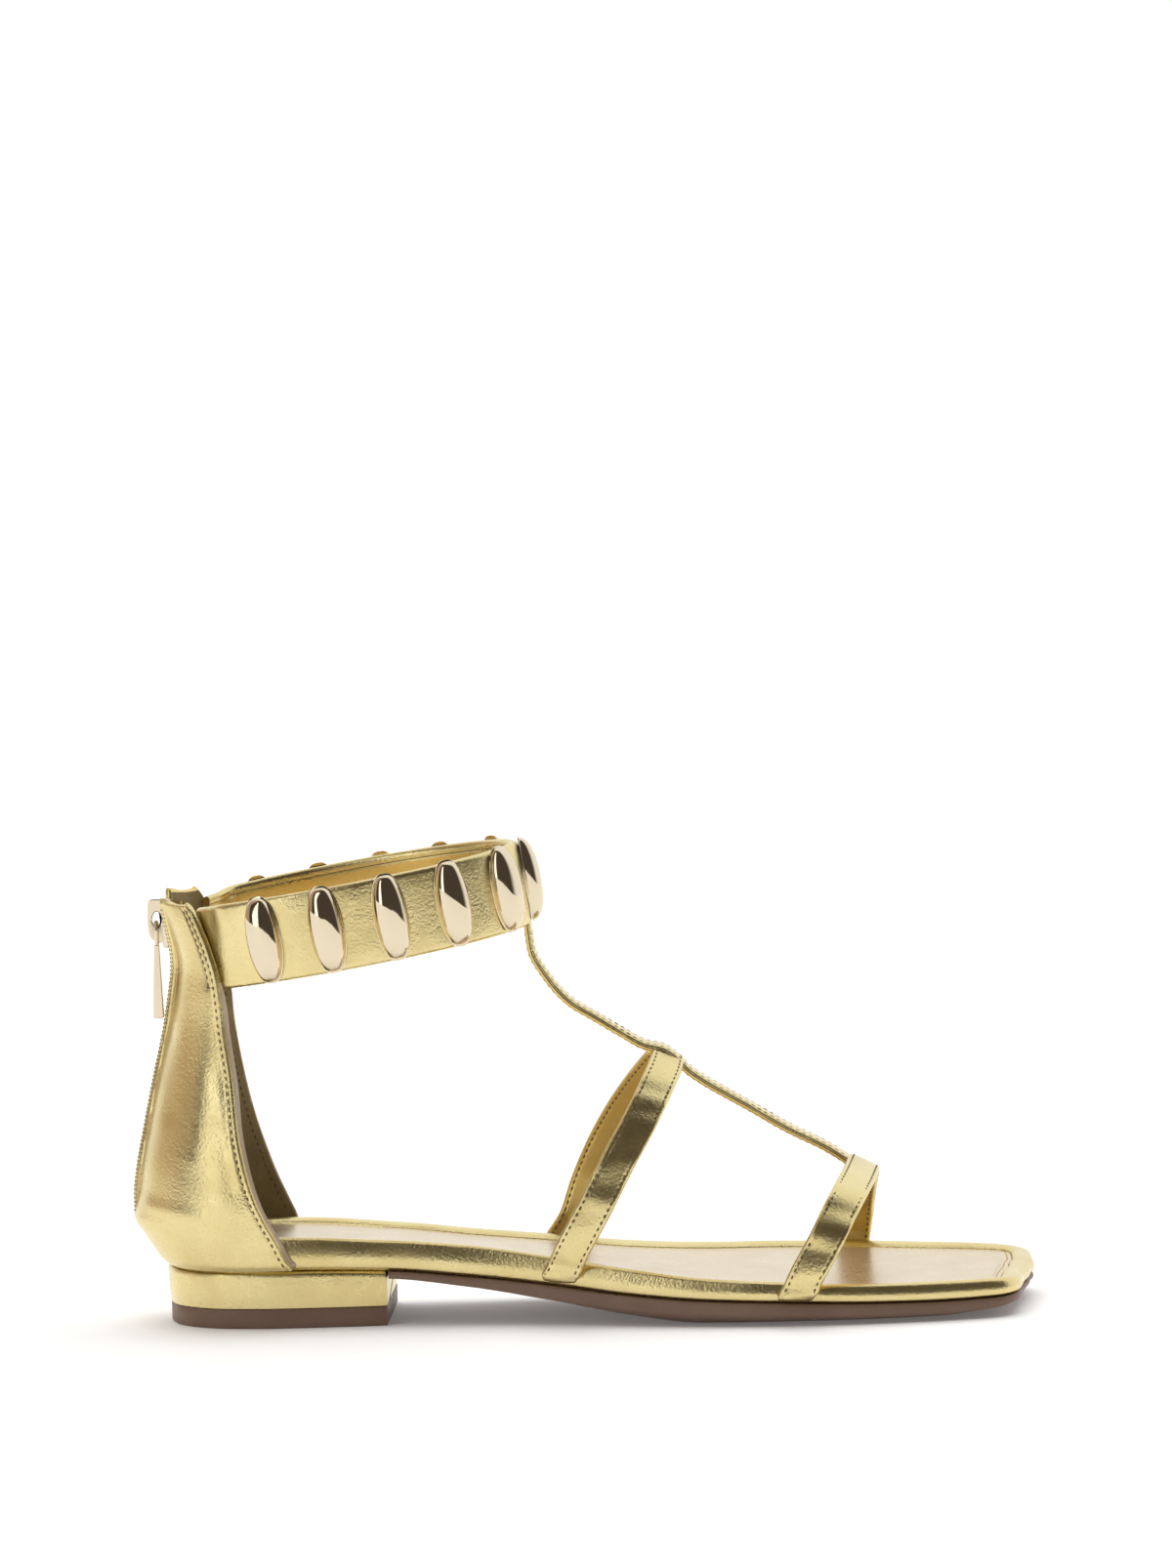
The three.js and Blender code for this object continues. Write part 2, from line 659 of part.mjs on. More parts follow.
// A route made longer at both ends, for the pocket that it needs
function lengthened(route, extra) {
  const stretch = (from, to) => from.point.clone()
    .add(from.point.clone().sub(to.point).setLength(extra));
  const copy = route.map(({ point, normal }) => ({ point: point.clone(), normal }));
  copy[0].point = stretch(route[0], route[1]);
  copy.at(-1).point = stretch(route.at(-1), route.at(-2));
  return copy;
}

function pocket(route) {
  const grow = 2 * clearance;
  return toSolid(ribbon(lengthened(route, clearance), strapWidth + grow, strapThickness + grow));
}

function upper() {
  const straps = [centreStrap(), instepRoute, toeRoute]
    .map((route) => toSolid(ribbon(route, strapWidth, strapThickness)));
  const body = [cuffBand(), ...straps].reduce((sum, part) => sum.add(part), quarters());
  const slotTop = seatHeight + counterHeight * 1.2;
  const slotDepth = counterLength;
  return body.subtract(block(
    slotDepth, slotWidth, slotTop - slotBottom,
    heelBack - slotDepth / 4, 0, (slotTop + slotBottom) / 2,
  ));
}

// A cut can leave crumbs thinner than a hair beside a pocket; the piece is the body itself
function mainBody(solid) {
  return solid.decompose().reduce((best, piece) => (piece.volume() > best.volume() ? piece : best));
}

function footbed() {
  return mainBody(footbedBlank().subtract(pocket(instepRoute)).subtract(pocket(toeRoute)));
}

// Zip
const backX = (z) => counterPoint((z - seatHeight) / counterHeight, 0).x;

function zipChain() {
  const low = slotBottom + clearance;
  const high = sliderBottom - clearance;
  const steps = 20;
  return loft(Array.from({ length: steps + 1 }, (_, i) => {
    const z = low + ((high - low) * i) / steps;
    const corners = softCorners(chainThickness, slotWidth - 2 * clearance, strapCorner);
    return corners.map(([a, b]) => vector(backX(z) + chainThickness / 2 + a, b, z));
  }));
}

const sliderMiddle = sliderBottom + sliderHeight / 2;
const sliderFace = backX(sliderBottom) - clearance - sliderDepth;
const pivotRoom = pullEdgeTop * Math.SQRT1_2 + clearance / 2; // the square cross bar turns freely
const pivotX = sliderFace - bridgeReach + bridgeBar + pivotRoom;
const pivotHeight = bridgeTop - bridgeHeight + bridgeBar + pivotRoom;

function zipSlider() {
  const plate = block(
    sliderDepth, sliderWidth, sliderHeight,
    sliderFace + sliderDepth / 2, 0, sliderMiddle,
  );
  const wedgeDepth = leatherThickness + clearance + sliderDepth / 2;
  const wedge = block(
    wedgeDepth, slotWidth - 2 * clearance, sliderHeight - 2 * edgeRound,
    sliderFace + sliderDepth / 2 + wedgeDepth / 2, 0, sliderMiddle,
  );
  const bridgeMiddle = bridgeTop - bridgeHeight / 2;
  const outline = block(
    bridgeReach + edgeRound, bridgeWidth, bridgeHeight,
    sliderFace - bridgeReach / 2 + edgeRound / 2, 0, bridgeMiddle,
  );
  const hole = block(
    bridgeReach - bridgeBar, 2 * bridgeWidth, bridgeHeight - 2 * bridgeBar,
    sliderFace - (bridgeReach - bridgeBar) / 2, 0, bridgeMiddle,
  );
  return plate.add(wedge).add(outline.subtract(hole));
}

// The pull hangs from a cross bar through the slider's bridge
function zipPull() {
  const levels = [0, 0.22, 0.3, 0.6, 0.94, 1];
  const tab = toSolid(loft(levels.map((share) => {
    const end = share === 1 ? edgeRound / 2 : 0;
    const width = pullTop + 2 * edgeRound + (pullEnd - pullTop - 2 * edgeRound) * share - end;
    const edge = pullEdgeTop + (pullEdgeEnd - pullEdgeTop) * share - end;
    const z = pullEdgeTop / 2 - pullLength * share;
    return softCorners(edge, width, edgeRound / 2).map(([a, b]) => vector(a, b, z));
  })));
  const bar = pullEdgeTop;
  const cheek = 0.9;
  const eye = block(bar, eyeGap + 2 * cheek, eyeLength + bar, 0, 0, -eyeLength / 2);
  const gap = block(2 * bar, eyeGap, eyeLength - bar, 0, 0, -eyeLength / 2);
  const below = block(4 * bar, 4 * pullEnd, eyeLength, 0, 0, -eyeLength / 2 + bar / 2);
  return tab.subtract(below).add(eye.subtract(gap));
}

// Studs: each dome is shaped on the band itself, so that its base follows the curve
function stud(position) {
  const first = cuffAngle(position - studWidth / 2);
  const last = cuffAngle(position + studWidth / 2);
  const at = (across, up, out) => cuffPoint(
    (first + last) / 2 + (across * (last - first)) / 2,
    clearance + out,
    bandHeight / 2 + (up * studHeight) / 2,
  );
  const rings = [
    { size: 1, out: 0 },
    { size: 1, out: studEdge },
    { size: 0.9, out: studEdge + 0.44 * studDome },
    { size: 0.68, out: studEdge + 0.73 * studDome },
    { size: 0.36, out: studEdge + 0.93 * studDome },
  ].map(({ size, out }) => Array.from({ length: studSides }, (_, i) => {
    const angle = (2 * Math.PI * i) / studSides;
    return at(size * Math.cos(angle), size * Math.sin(angle), out);
  }));
  const faces = [];
  rings.slice(1).forEach((_, level) => {
    for (let i = 0; i < studSides; i += 1) {
      const a = level * studSides + i;
      const b = level * studSides + ((i + 1) % studSides);
      faces.push([a, b, b + studSides], [a, b + studSides, a + studSides]);
    }
  });
  const points = rings.flat().concat([at(0, 0, 0), at(0, 0, studEdge + studDome)]);
  const [base, tip] = [points.length - 2, points.length - 1];
  const top = (rings.length - 1) * studSides;
  for (let i = 0; i < studSides; i += 1) {
    const next = (i + 1) % studSides;
    faces.push([base, next, i], [tip, top + i, top + next]);
  }
  return solidFrom(points, faces);
}

const sandal = new THREE.Group();

function add(name, geometry, look) {
  const mesh = new THREE.Mesh(geometry, new THREE.MeshStandardMaterial(look));
  mesh.name = name;
  sandal.add(mesh);
  return mesh;
}

add('top_lift', topLift(), brownSole);
add('heel_block', heelBlock(), goldLeather);
add('outsole', outsole(), brownSole);
add('footbed', toGeometry(footbed()), goldLeather);
add('sock_lining', sockLining(), goldLining);
add('upper', toGeometry(upper()), goldLeather);
add('zip_chain', zipChain(), champagne);
add('zip_slider', toGeometry(zipSlider()), champagne);
add('zip_pull', toGeometry(zipPull()), champagne).position.set(pivotX, 0, pivotHeight);
for (let i = 0; i < studCount; i += 1) {
  const position = studShift + (i - (studCount - 1) / 2) * studPitch;
  add(`stud_${String(i + 1).padStart(2, '0')}`, stud(position), champagne);
}

export default sandal;
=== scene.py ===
# Gladiator sandal, right shoe, in gold foil leather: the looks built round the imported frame.
# Sizes in the dictionaries and tables are millimetres; makeMesh turns them into metres.
import math

import bmesh
import bpy
import numpy as np
from mathutils import Matrix, Vector


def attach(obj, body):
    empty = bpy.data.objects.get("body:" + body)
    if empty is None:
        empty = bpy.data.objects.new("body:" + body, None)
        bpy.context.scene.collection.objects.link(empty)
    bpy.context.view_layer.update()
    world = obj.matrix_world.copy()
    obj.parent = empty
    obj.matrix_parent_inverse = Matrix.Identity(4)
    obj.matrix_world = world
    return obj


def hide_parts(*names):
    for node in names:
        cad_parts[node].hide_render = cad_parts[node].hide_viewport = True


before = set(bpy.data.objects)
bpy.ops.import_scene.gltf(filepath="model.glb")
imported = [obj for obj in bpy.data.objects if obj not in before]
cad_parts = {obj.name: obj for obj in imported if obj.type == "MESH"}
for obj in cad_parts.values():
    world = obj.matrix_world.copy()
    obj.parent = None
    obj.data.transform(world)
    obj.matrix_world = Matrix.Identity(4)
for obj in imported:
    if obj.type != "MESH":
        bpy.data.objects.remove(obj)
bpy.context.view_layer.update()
scene = bpy.context.scene
metre = 0.001


def link(obj):
    scene.collection.objects.link(obj)
    return obj


# Camera: square on to the outer side, a little above the floor, rolled as the picture is
view = {"turn": 2.0, "aim": 87.718, "away": 2000.0, "height": 288.0, "down": 4.0336, "roll": 1.5,
        "focal": 7400.0, "pictureHeight": 1606.0, "sensor": 36.0}


def makeCamera():
    turn, down, roll = (math.radians(view[key]) for key in ("turn", "down", "roll"))
    back = Vector((math.sin(turn), -math.cos(turn), 0))
    place = Vector((view["aim"], 0, view["height"])) + back * view["away"]
    ahead = Vector((-math.sin(turn) * math.cos(down), math.cos(turn) * math.cos(down), -math.sin(down)))
    level = Vector((math.cos(turn), math.sin(turn), 0))
    upright = level.cross(ahead)
    right = level * math.cos(roll) - upright * math.sin(roll)
    up = upright * math.cos(roll) + level * math.sin(roll)
    data = bpy.data.cameras.new("camera")
    data.sensor_width = view["sensor"]
    data.lens = view["focal"] / view["pictureHeight"] * view["sensor"]
    data.clip_end = 20
    camera = link(bpy.data.objects.new("camera", data))
    facing = Matrix((right, up, -ahead)).transposed().to_4x4()
    camera.matrix_world = Matrix.Translation(place * metre) @ facing
    scene.camera = camera


makeCamera()
print("camera placed")


# Smooth lines through the rows of a table, without overshoot; level ends where two halves meet
def smoothTable(places, values, level=False):
    places, values = np.asarray(places, float), np.asarray(values, float)
    step = np.diff(places)
    rise = np.diff(values) / step
    product = rise[:-1] * rise[1:]
    total = np.where(product > 0, rise[:-1] + rise[1:], 1)
    lean = np.zeros_like(values)
    lean[1:-1] = np.where(product > 0, 2 * product / total, 0)
    if not level:
        lean[0], lean[-1] = rise[0], rise[-1]

    def read(at):
        at = np.asarray(at, float)
        i = np.clip(np.searchsorted(places, at) - 1, 0, len(step) - 1)
        t = np.clip((at - places[i]) / step[i], 0, 1)
        start = values[i] + (values[i + 1] - values[i]) * t * t * (3 - 2 * t)
        return start + step[i] * (lean[i] * t * (1 - t) ** 2 - lean[i + 1] * t * t * (1 - t))

    return read


def readTable(names, rows, keyed=True, level=()):
    table = np.array(rows, float)
    places = table[:, 0] if keyed else np.arange(len(table))
    return {name: smoothTable(places, table[:, k], name in level) for k, name in enumerate(names)}


def unit(vectors):
    return vectors / np.maximum(np.linalg.norm(vectors, axis=-1, keepdims=True), 1e-9)


def lengthAlong(places):
    return np.concatenate([[0], np.cumsum(np.linalg.norm(np.diff(places, axis=0), axis=1))])


def smoothStep(low, high, x):
    t = np.clip((np.asarray(x, float) - low) / (high - low), 0, 1)
    return t * t * (3 - 2 * t)


# Soft troughs (negative) and ridges, listed one by one, each along a line in the piece's own sizes
def creaseField(places, creases):
    total = np.zeros(places.shape[:-1])
    for start, end, wide, deep in creases:
        start, end = np.array(start, float), np.array(end, float)
        line = end - start
        t = np.clip(((places - start) @ line) / (line @ line), 0, 1)
        away = np.linalg.norm(places - start - t[..., None] * line, axis=-1)
        total += deep * np.exp(-(away / wide) ** 2)
    return total


def makeMesh(name, points, faces, materials, sharp=50, faceSlots=None):
    mesh = bpy.data.meshes.new(name)
    mesh.from_pydata((np.asarray(points, float) * metre).tolist(), [], [tuple(f) for f in faces])
    for material in materials if isinstance(materials, (list, tuple)) else [materials]:
        mesh.materials.append(material)
    if faceSlots is not None:
        mesh.polygons.foreach_set("material_index", faceSlots)
    shape = bmesh.new()
    shape.from_mesh(mesh)
    bmesh.ops.remove_doubles(shape, verts=shape.verts, dist=2e-6)
    bmesh.ops.dissolve_degenerate(shape, edges=shape.edges, dist=1e-6)
    bmesh.ops.recalc_face_normals(shape, faces=shape.faces)
    shape.to_mesh(mesh)
    shape.free()
    mesh.shade_smooth()
    mesh.set_sharp_from_angle(angle=math.radians(sharp))
    return link(bpy.data.objects.new(name, mesh))


def gridFaces(rows, columns, wrap=False, start=0):
    faces = []
    for i in range(rows - 1):
        for j in range(columns if wrap else columns - 1):
            a, b = start + i * columns + j, start + i * columns + (j + 1) % columns
            faces.append((a, b, b + columns, a + columns))
    return faces


# Rings that run into each other, the last back into the first
def tubeFaces(rings, count):
    last = (rings - 1) * count
    closing = [(last + j, last + (j + 1) % count, (j + 1) % count, j) for j in range(count)]
    return gridFaces(rings, count, wrap=True) + closing


# Rings stacked into a closed solid; its two ends are closed like the rungs of a ladder
def ringFaces(rings, count, shared):
    faces = gridFaces(rings, count, wrap=True)
    for base in (0, (rings - 1) * count):
        for i in range(count // 2):
            quad = [i, i + 1, (count - i - 1) % count if shared else count - 2 - i,
                    (count - i) % count if shared else count - 1 - i]
            faces.append([base + k for k in dict.fromkeys(quad)])
    return [face for face in faces if len(set(face)) > 2]


def ringSolid(name, rings, materials, shared=False, sharp=50):
    points = np.concatenate(rings)
    return makeMesh(name, points, ringFaces(len(rings), len(rings[0]), shared), materials, sharp)


def finishPiece(obj, slot, *nodes, body="shoe"):
    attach(obj, body)
    if nodes:
        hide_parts(*nodes)
    return obj


# Shader helpers
def nodeTree(owner):
    nodes, links = owner.nodes, owner.links

    def add(kind, inputs=(), **settings):
        node = nodes.new(kind)
        for key, value in settings.items():
            setattr(node, key, value)
        for socket, value in dict(inputs).items():
            target = node.inputs[socket]
            if isinstance(value, bpy.types.NodeSocket):
                links.new(value, target)
            else:
                target.default_value = value
        return node

    return add


def groupSockets(tree, inputs, outputs):
    for name, kind, value in inputs:
        socket = tree.interface.new_socket(name, in_out="INPUT", socket_type=kind)
        if value is not None:
            socket.default_value = value
    for name, kind in outputs:
        tree.interface.new_socket(name, in_out="OUTPUT", socket_type=kind)


# Grain of foil leather: rounded pebbles, fine grit and low wrinkles, all bent a little out of line
def makeGrainGroup():
    tree = bpy.data.node_groups.new("leatherGrain", "ShaderNodeTree")
    groupSockets(tree, [("Place", "NodeSocketVector", None), ("Cells", "NodeSocketFloat", 1100.0),
                        ("Wrinkles", "NodeSocketFloat", 1.0)],
                 [("Height", "NodeSocketFloat")])
    add = nodeTree(tree)
    given = add("NodeGroupInput").outputs
    bend = add("ShaderNodeTexNoise", {"Vector": given["Place"], "Scale": 260.0, "Detail": 2.0})
    shift = add("ShaderNodeVectorMath", {0: bend.outputs["Color"], 1: (0.5, 0.5, 0.5)}, operation="SUBTRACT")
    small = add("ShaderNodeVectorMath", {0: shift.outputs[0], "Scale": 0.0016}, operation="SCALE")
    place = add("ShaderNodeVectorMath", {0: given["Place"], 1: small.outputs[0]}, operation="ADD")
    pebble = add("ShaderNodeTexVoronoi", {"Vector": place.outputs[0], "Scale": given["Cells"],
                                          "Smoothness": 0.6}, feature="SMOOTH_F1")
    fine = add("ShaderNodeTexNoise", {"Vector": place.outputs[0], "Scale": 1000.0, "Detail": 3.0,
                                      "Roughness": 0.65})
    lines = add("ShaderNodeMapping", {"Vector": place.outputs[0], "Scale": (420.0, 420.0, 1400.0)})
    wrinkle = add("ShaderNodeTexNoise", {"Vector": lines.outputs[0], "Scale": 1.0, "Detail": 2.0})
    mass = add("ShaderNodeMath", {0: pebble.outputs["Distance"], 1: -0.4}, operation="MULTIPLY")
    more = add("ShaderNodeMath", {0: fine.outputs["Fac"], 1: 0.8, 2: mass.outputs[0]},
               operation="MULTIPLY_ADD")
    share = add("ShaderNodeMath", {0: given["Wrinkles"], 1: 0.6}, operation="MULTIPLY")
    last = add("ShaderNodeMath", {0: wrinkle.outputs["Fac"], 1: share.outputs[0], 2: more.outputs[0]},
               operation="MULTIPLY_ADD")
    add("NodeGroupOutput", {"Height": last.outputs[0]})
    return tree


# Foil over leather: its tone drifts slowly with fine specks, and rubbed spots are duller
def makeFoilGroup():
    tree = bpy.data.node_groups.new("foilTone", "ShaderNodeTree")
    groupSockets(tree, [("Place", "NodeSocketVector", None), ("Light", "NodeSocketColor", (1, 1, 1, 1)),
                        ("Deep", "NodeSocketColor", (0.5, 0.5, 0.5, 1)), ("Smooth", "NodeSocketFloat", 0.25),
                        ("Rubbed", "NodeSocketFloat", 0.4)],
                 [("Color", "NodeSocketColor"), ("Roughness", "NodeSocketFloat")])
    add = nodeTree(tree)
    given = add("NodeGroupInput").outputs
    drift = add("ShaderNodeTexNoise", {"Vector": given["Place"], "Scale": 45.0, "Detail": 3.0})
    speck = add("ShaderNodeTexNoise", {"Vector": given["Place"], "Scale": 1300.0, "Detail": 2.0})
    both = add("ShaderNodeMath", {0: speck.outputs["Fac"], 1: 0.45, 2: drift.outputs["Fac"]},
               operation="MULTIPLY_ADD")
    share = add("ShaderNodeMapRange", {"Value": both.outputs[0], "From Min": 0.55, "From Max": 0.95})
    tone = add("ShaderNodeMix", {"Factor": share.outputs[0], "A": given["Light"], "B": given["Deep"]},
               data_type="RGBA")
    rub = add("ShaderNodeTexNoise", {"Vector": given["Place"], "Scale": 90.0, "Detail": 4.0,
                                     "Roughness": 0.6})
    rough = add("ShaderNodeMapRange", {"Value": rub.outputs["Fac"], "From Min": 0.35, "From Max": 0.7,
                                       "To Min": given["Smooth"], "To Max": given["Rubbed"]})
    add("NodeGroupOutput", {"Color": tone.outputs["Result"], "Roughness": rough.outputs[0]})
    return tree


grainGroup, foilGroup = makeGrainGroup(), makeFoilGroup()


def makeMaterial(name):
    material = bpy.data.materials.new(name)
    material.use_nodes = True
    material.node_tree.nodes.clear()
    return material, nodeTree(material.node_tree)


leathers = {
    "goldLeather": {"light": (0.79, 0.68, 0.35), "deep": (0.72, 0.59, 0.27), "smooth": 0.25, "rubbed": 0.34,
                    "metallic": 1.0, "cells": 1500.0, "wrinkles": 0.2, "relief": 0.00011},
    "goldLining": {"light": (0.85, 0.64, 0.24), "deep": (0.77, 0.55, 0.17), "smooth": 0.30, "rubbed": 0.42,
                   "metallic": 0.9, "cells": 1500.0, "wrinkles": 0.6, "relief": 0.00007},
    "sockLeather": {"light": (0.72, 0.60, 0.42), "deep": (0.68, 0.555, 0.365), "smooth": 0.26, "rubbed": 0.32,
                    "metallic": 0.75, "cells": 1500.0, "wrinkles": 0.3, "relief": 0.00002},
    "taupeLining": {"light": (0.34, 0.27, 0.135), "deep": (0.25, 0.19, 0.09), "smooth": 0.55, "rubbed": 0.7,
                    "metallic": 0.35, "cells": 1800.0, "wrinkles": 0.3, "relief": 0.00006},
    "thread": {"light": (0.20, 0.14, 0.055), "deep": (0.10, 0.07, 0.03), "smooth": 0.5, "rubbed": 0.65,
               "metallic": 0.2, "cells": 4000.0, "wrinkles": 0.5, "relief": 0.00004},
    "edgePaint": {"light": (0.16, 0.10, 0.045), "deep": (0.09, 0.055, 0.025), "smooth": 0.35, "rubbed": 0.55,
                  "metallic": 0.2, "cells": 2600.0, "wrinkles": 0.4, "relief": 0.00003},
    "rawEdge": {"light": (0.62, 0.50, 0.38), "deep": (0.50, 0.38, 0.27), "smooth": 0.4, "rubbed": 0.6,
                "metallic": 0.3, "cells": 2600.0, "wrinkles": 0.4, "relief": 0.00004},
}


def makeLeather(name, look):
    material, add = makeMaterial(name)
    place = add("ShaderNodeTexCoord").outputs["Object"]
    grain = add("ShaderNodeGroup", {"Place": place, "Cells": look["cells"], "Wrinkles": look["wrinkles"]},
                node_tree=grainGroup)
    foil = add("ShaderNodeGroup", {"Place": place, "Light": (*look["light"], 1), "Deep": (*look["deep"], 1),
                                   "Smooth": look["smooth"], "Rubbed": look["rubbed"]}, node_tree=foilGroup)
    bump = add("ShaderNodeBump", {"Height": grain.outputs["Height"], "Strength": 1.0,
                                  "Distance": look["relief"]})
    surface = add("ShaderNodeBsdfPrincipled", {
        "Base Color": foil.outputs["Color"], "Roughness": foil.outputs["Roughness"],
        "Normal": bump.outputs["Normal"], "Metallic": look["metallic"]})
    add("ShaderNodeOutputMaterial", {"Surface": surface.outputs[0]})
    return material


goldLeather, goldLining, sockLeather, taupeLining, thread, edgePaint, rawEdge = (
    makeLeather(name, look) for name, look in leathers.items())

metals = {"champagne": {"color": (0.74, 0.645, 0.475), "clean": 0.035, "smudged": 0.09},
          "zipMetal": {"color": (0.80, 0.66, 0.44), "clean": 0.18, "smudged": 0.32}}


def makeMetal(name, look):
    material, add = makeMaterial(name)
    place = add("ShaderNodeTexCoord").outputs["Object"]
    smudge = add("ShaderNodeTexNoise", {"Vector": place, "Scale": 160.0, "Detail": 4.0})
    rough = add("ShaderNodeMapRange", {"Value": smudge.outputs["Fac"], "From Min": 0.4, "From Max": 0.75,
                                       "To Min": look["clean"], "To Max": look["smudged"]})
    scratch = add("ShaderNodeMapping", {"Vector": place, "Scale": (900.0, 900.0, 120.0)})
    fine = add("ShaderNodeTexNoise", {"Vector": scratch.outputs[0], "Scale": 1.0, "Detail": 2.0})
    bump = add("ShaderNodeBump", {"Height": fine.outputs["Fac"], "Strength": 0.25, "Distance": 0.000008})
    surface = add("ShaderNodeBsdfPrincipled", {
        "Base Color": (*look["color"], 1), "Metallic": 1.0, "Roughness": rough.outputs[0],
        "Normal": bump.outputs["Normal"]})
    add("ShaderNodeOutputMaterial", {"Surface": surface.outputs[0]})
    return material


champagne, zipMetal = (makeMetal(name, look) for name, look in metals.items())

soleLook = {"light": (0.215, 0.128, 0.088), "dark": (0.165, 0.096, 0.064), "rough": (0.38, 0.55)}


def makeSoleMaterial():
    material, add = makeMaterial("brownSole")
    place = add("ShaderNodeTexCoord").outputs["Object"]
    cloud = add("ShaderNodeTexNoise", {"Vector": place, "Scale": 120.0, "Detail": 5.0, "Roughness": 0.6})
    tone = add("ShaderNodeMix", {"Factor": cloud.outputs["Fac"], "A": (*soleLook["light"], 1),
                                 "B": (*soleLook["dark"], 1)}, data_type="RGBA")
    rough = add("ShaderNodeMapRange", {"Value": cloud.outputs["Fac"], "From Min": 0.3, "From Max": 0.7,
                                       "To Min": soleLook["rough"][0], "To Max": soleLook["rough"][1]})
    pore = add("ShaderNodeTexVoronoi", {"Vector": place, "Scale": 1400.0})
    bump = add("ShaderNodeBump", {"Height": pore.outputs["Distance"], "Strength": 0.5, "Distance": 0.00004})
    surface = add("ShaderNodeBsdfPrincipled", {
        "Base Color": tone.outputs["Result"], "Roughness": rough.outputs[0],
        "Normal": bump.outputs["Normal"]})
    add("ShaderNodeOutputMaterial", {"Surface": surface.outputs[0]})
    return material


brownSole = makeSoleMaterial()
print("materials made")


# Geometry nodes that set one small form after another along a line that lies on a surface
def makeRepeatTree(name, form):
    tree = bpy.data.node_groups.new(name, "GeometryNodeTree")
    groupSockets(tree, [("Geometry", "NodeSocketGeometry", None), ("Pitch", "NodeSocketFloat", 0.002),
                        ("Size", "NodeSocketVector", (0.001, 0.001, 0.001)), ("Sway", "NodeSocketFloat", 0.1),
                        ("Step", "NodeSocketFloat", 0.0), ("Seed", "NodeSocketInt", 1),
                        ("Material", "NodeSocketMaterial", None)],
                 [("Geometry", "NodeSocketGeometry")])
    add = nodeTree(tree)
    given = add("NodeGroupInput").outputs
    line = add("GeometryNodeMeshToCurve", {"Mesh": given["Geometry"]})
    spaced = add("GeometryNodeResampleCurve", {"Curve": line.outputs[0], "Length": given["Pitch"]},
                 mode="LENGTH")
    facing = add("GeometryNodeInputNamedAttribute", {"Name": "facing"}, data_type="FLOAT_VECTOR")
    ahead = add("GeometryNodeInputTangent")
    stand = add("FunctionNodeAxesToRotation", {"Primary Axis": facing.outputs[0],
                                               "Secondary Axis": ahead.outputs[0]},
                primary_axis="Z", secondary_axis="X")
    minus = add("ShaderNodeMath", {0: given["Sway"], 1: -1.0}, operation="MULTIPLY")
    swing = add("FunctionNodeRandomValue", {"Min": minus.outputs[0], "Max": given["Sway"],
                                            "Seed": given["Seed"]}, data_type="FLOAT")
    twist = add("ShaderNodeCombineXYZ", {"Z": swing.outputs[1]})
    turned = add("FunctionNodeRotateRotation", {"Rotation": stand.outputs[0], "Rotate By": twist.outputs[0]},
                 rotation_space="LOCAL")
    if form == "stitch":
        shape = add("GeometryNodeMeshUVSphere", {"Segments": 8, "Rings": 5, "Radius": 0.5})
    else:
        shape = add("GeometryNodeMeshCube", {"Size": (1.0, 1.0, 1.0)})
    number = add("GeometryNodeInputIndex")
    odd = add("ShaderNodeMath", {0: number.outputs[0], 1: 2.0}, operation="MODULO")
    side = add("ShaderNodeMath", {0: odd.outputs[0], 1: -0.5}, operation="ADD")
    slide = add("ShaderNodeMath", {0: side.outputs[0], 1: given["Step"]}, operation="MULTIPLY")
    across = add("ShaderNodeVectorMath", {0: facing.outputs[0], 1: ahead.outputs[0]},
                 operation="CROSS_PRODUCT")
    offset = add("ShaderNodeVectorMath", {0: across.outputs[0], "Scale": slide.outputs[0]}, operation="SCALE")
    moved = add("GeometryNodeSetPosition", {"Geometry": spaced.outputs[0], "Offset": offset.outputs[0]})
    placed = add("GeometryNodeInstanceOnPoints", {"Points": moved.outputs[0], "Instance": shape.outputs[0],
                                                  "Rotation": turned.outputs[0], "Scale": given["Size"]})
    real = add("GeometryNodeRealizeInstances", {"Geometry": placed.outputs[0]})
    painted = add("GeometryNodeSetMaterial", {"Geometry": real.outputs[0], "Material": given["Material"]})
    add("NodeGroupOutput", {"Geometry": painted.outputs[0]})
    return tree


stitchTree = makeRepeatTree("stitchRow", "stitch")
toothTree = makeRepeatTree("toothRow", "tooth")


def repeatAlong(name, tree, lines, material, slot, sizes, nodes=(), smooth=True):
    points, facing, edges = [], [], []
    for places, normals in lines:
        start = len(points)
        points += (np.asarray(places) * metre).tolist()
        facing += unit(np.asarray(normals, float)).tolist()
        edges += [(k, k + 1) for k in range(start, len(points) - 1)]
    mesh = bpy.data.meshes.new(name + "Line")
    mesh.from_pydata(points, edges, [])
    mesh.attributes.new("facing", "FLOAT_VECTOR", "POINT").data.foreach_set("vector", np.ravel(facing))
    holder = link(bpy.data.objects.new(name + "Line", mesh))
    modifier = holder.modifiers.new(name, "NODES")
    modifier.node_group = tree
    given = {item.name: item.identifier for item in tree.interface.items_tree if item.in_out == "INPUT"}
    modifier[given["Pitch"]] = sizes["pitch"] * metre
    modifier[given["Size"]] = [size * metre for size in sizes["size"]]
    modifier[given["Sway"]] = float(sizes.get("sway", 0.08))
    modifier[given["Step"]] = sizes.get("step", 0.0) * metre
    modifier[given["Seed"]] = 7
    modifier[given["Material"]] = material
    graph = bpy.context.evaluated_depsgraph_get()
    graph.update()
    made = bpy.data.meshes.new_from_object(holder.evaluated_get(graph))
    made.name = name
    bpy.data.objects.remove(holder)
    if smooth:
        made.shade_smooth()
    else:
        made.shade_flat()
    return finishPiece(link(bpy.data.objects.new(name, made)), slot, *nodes)


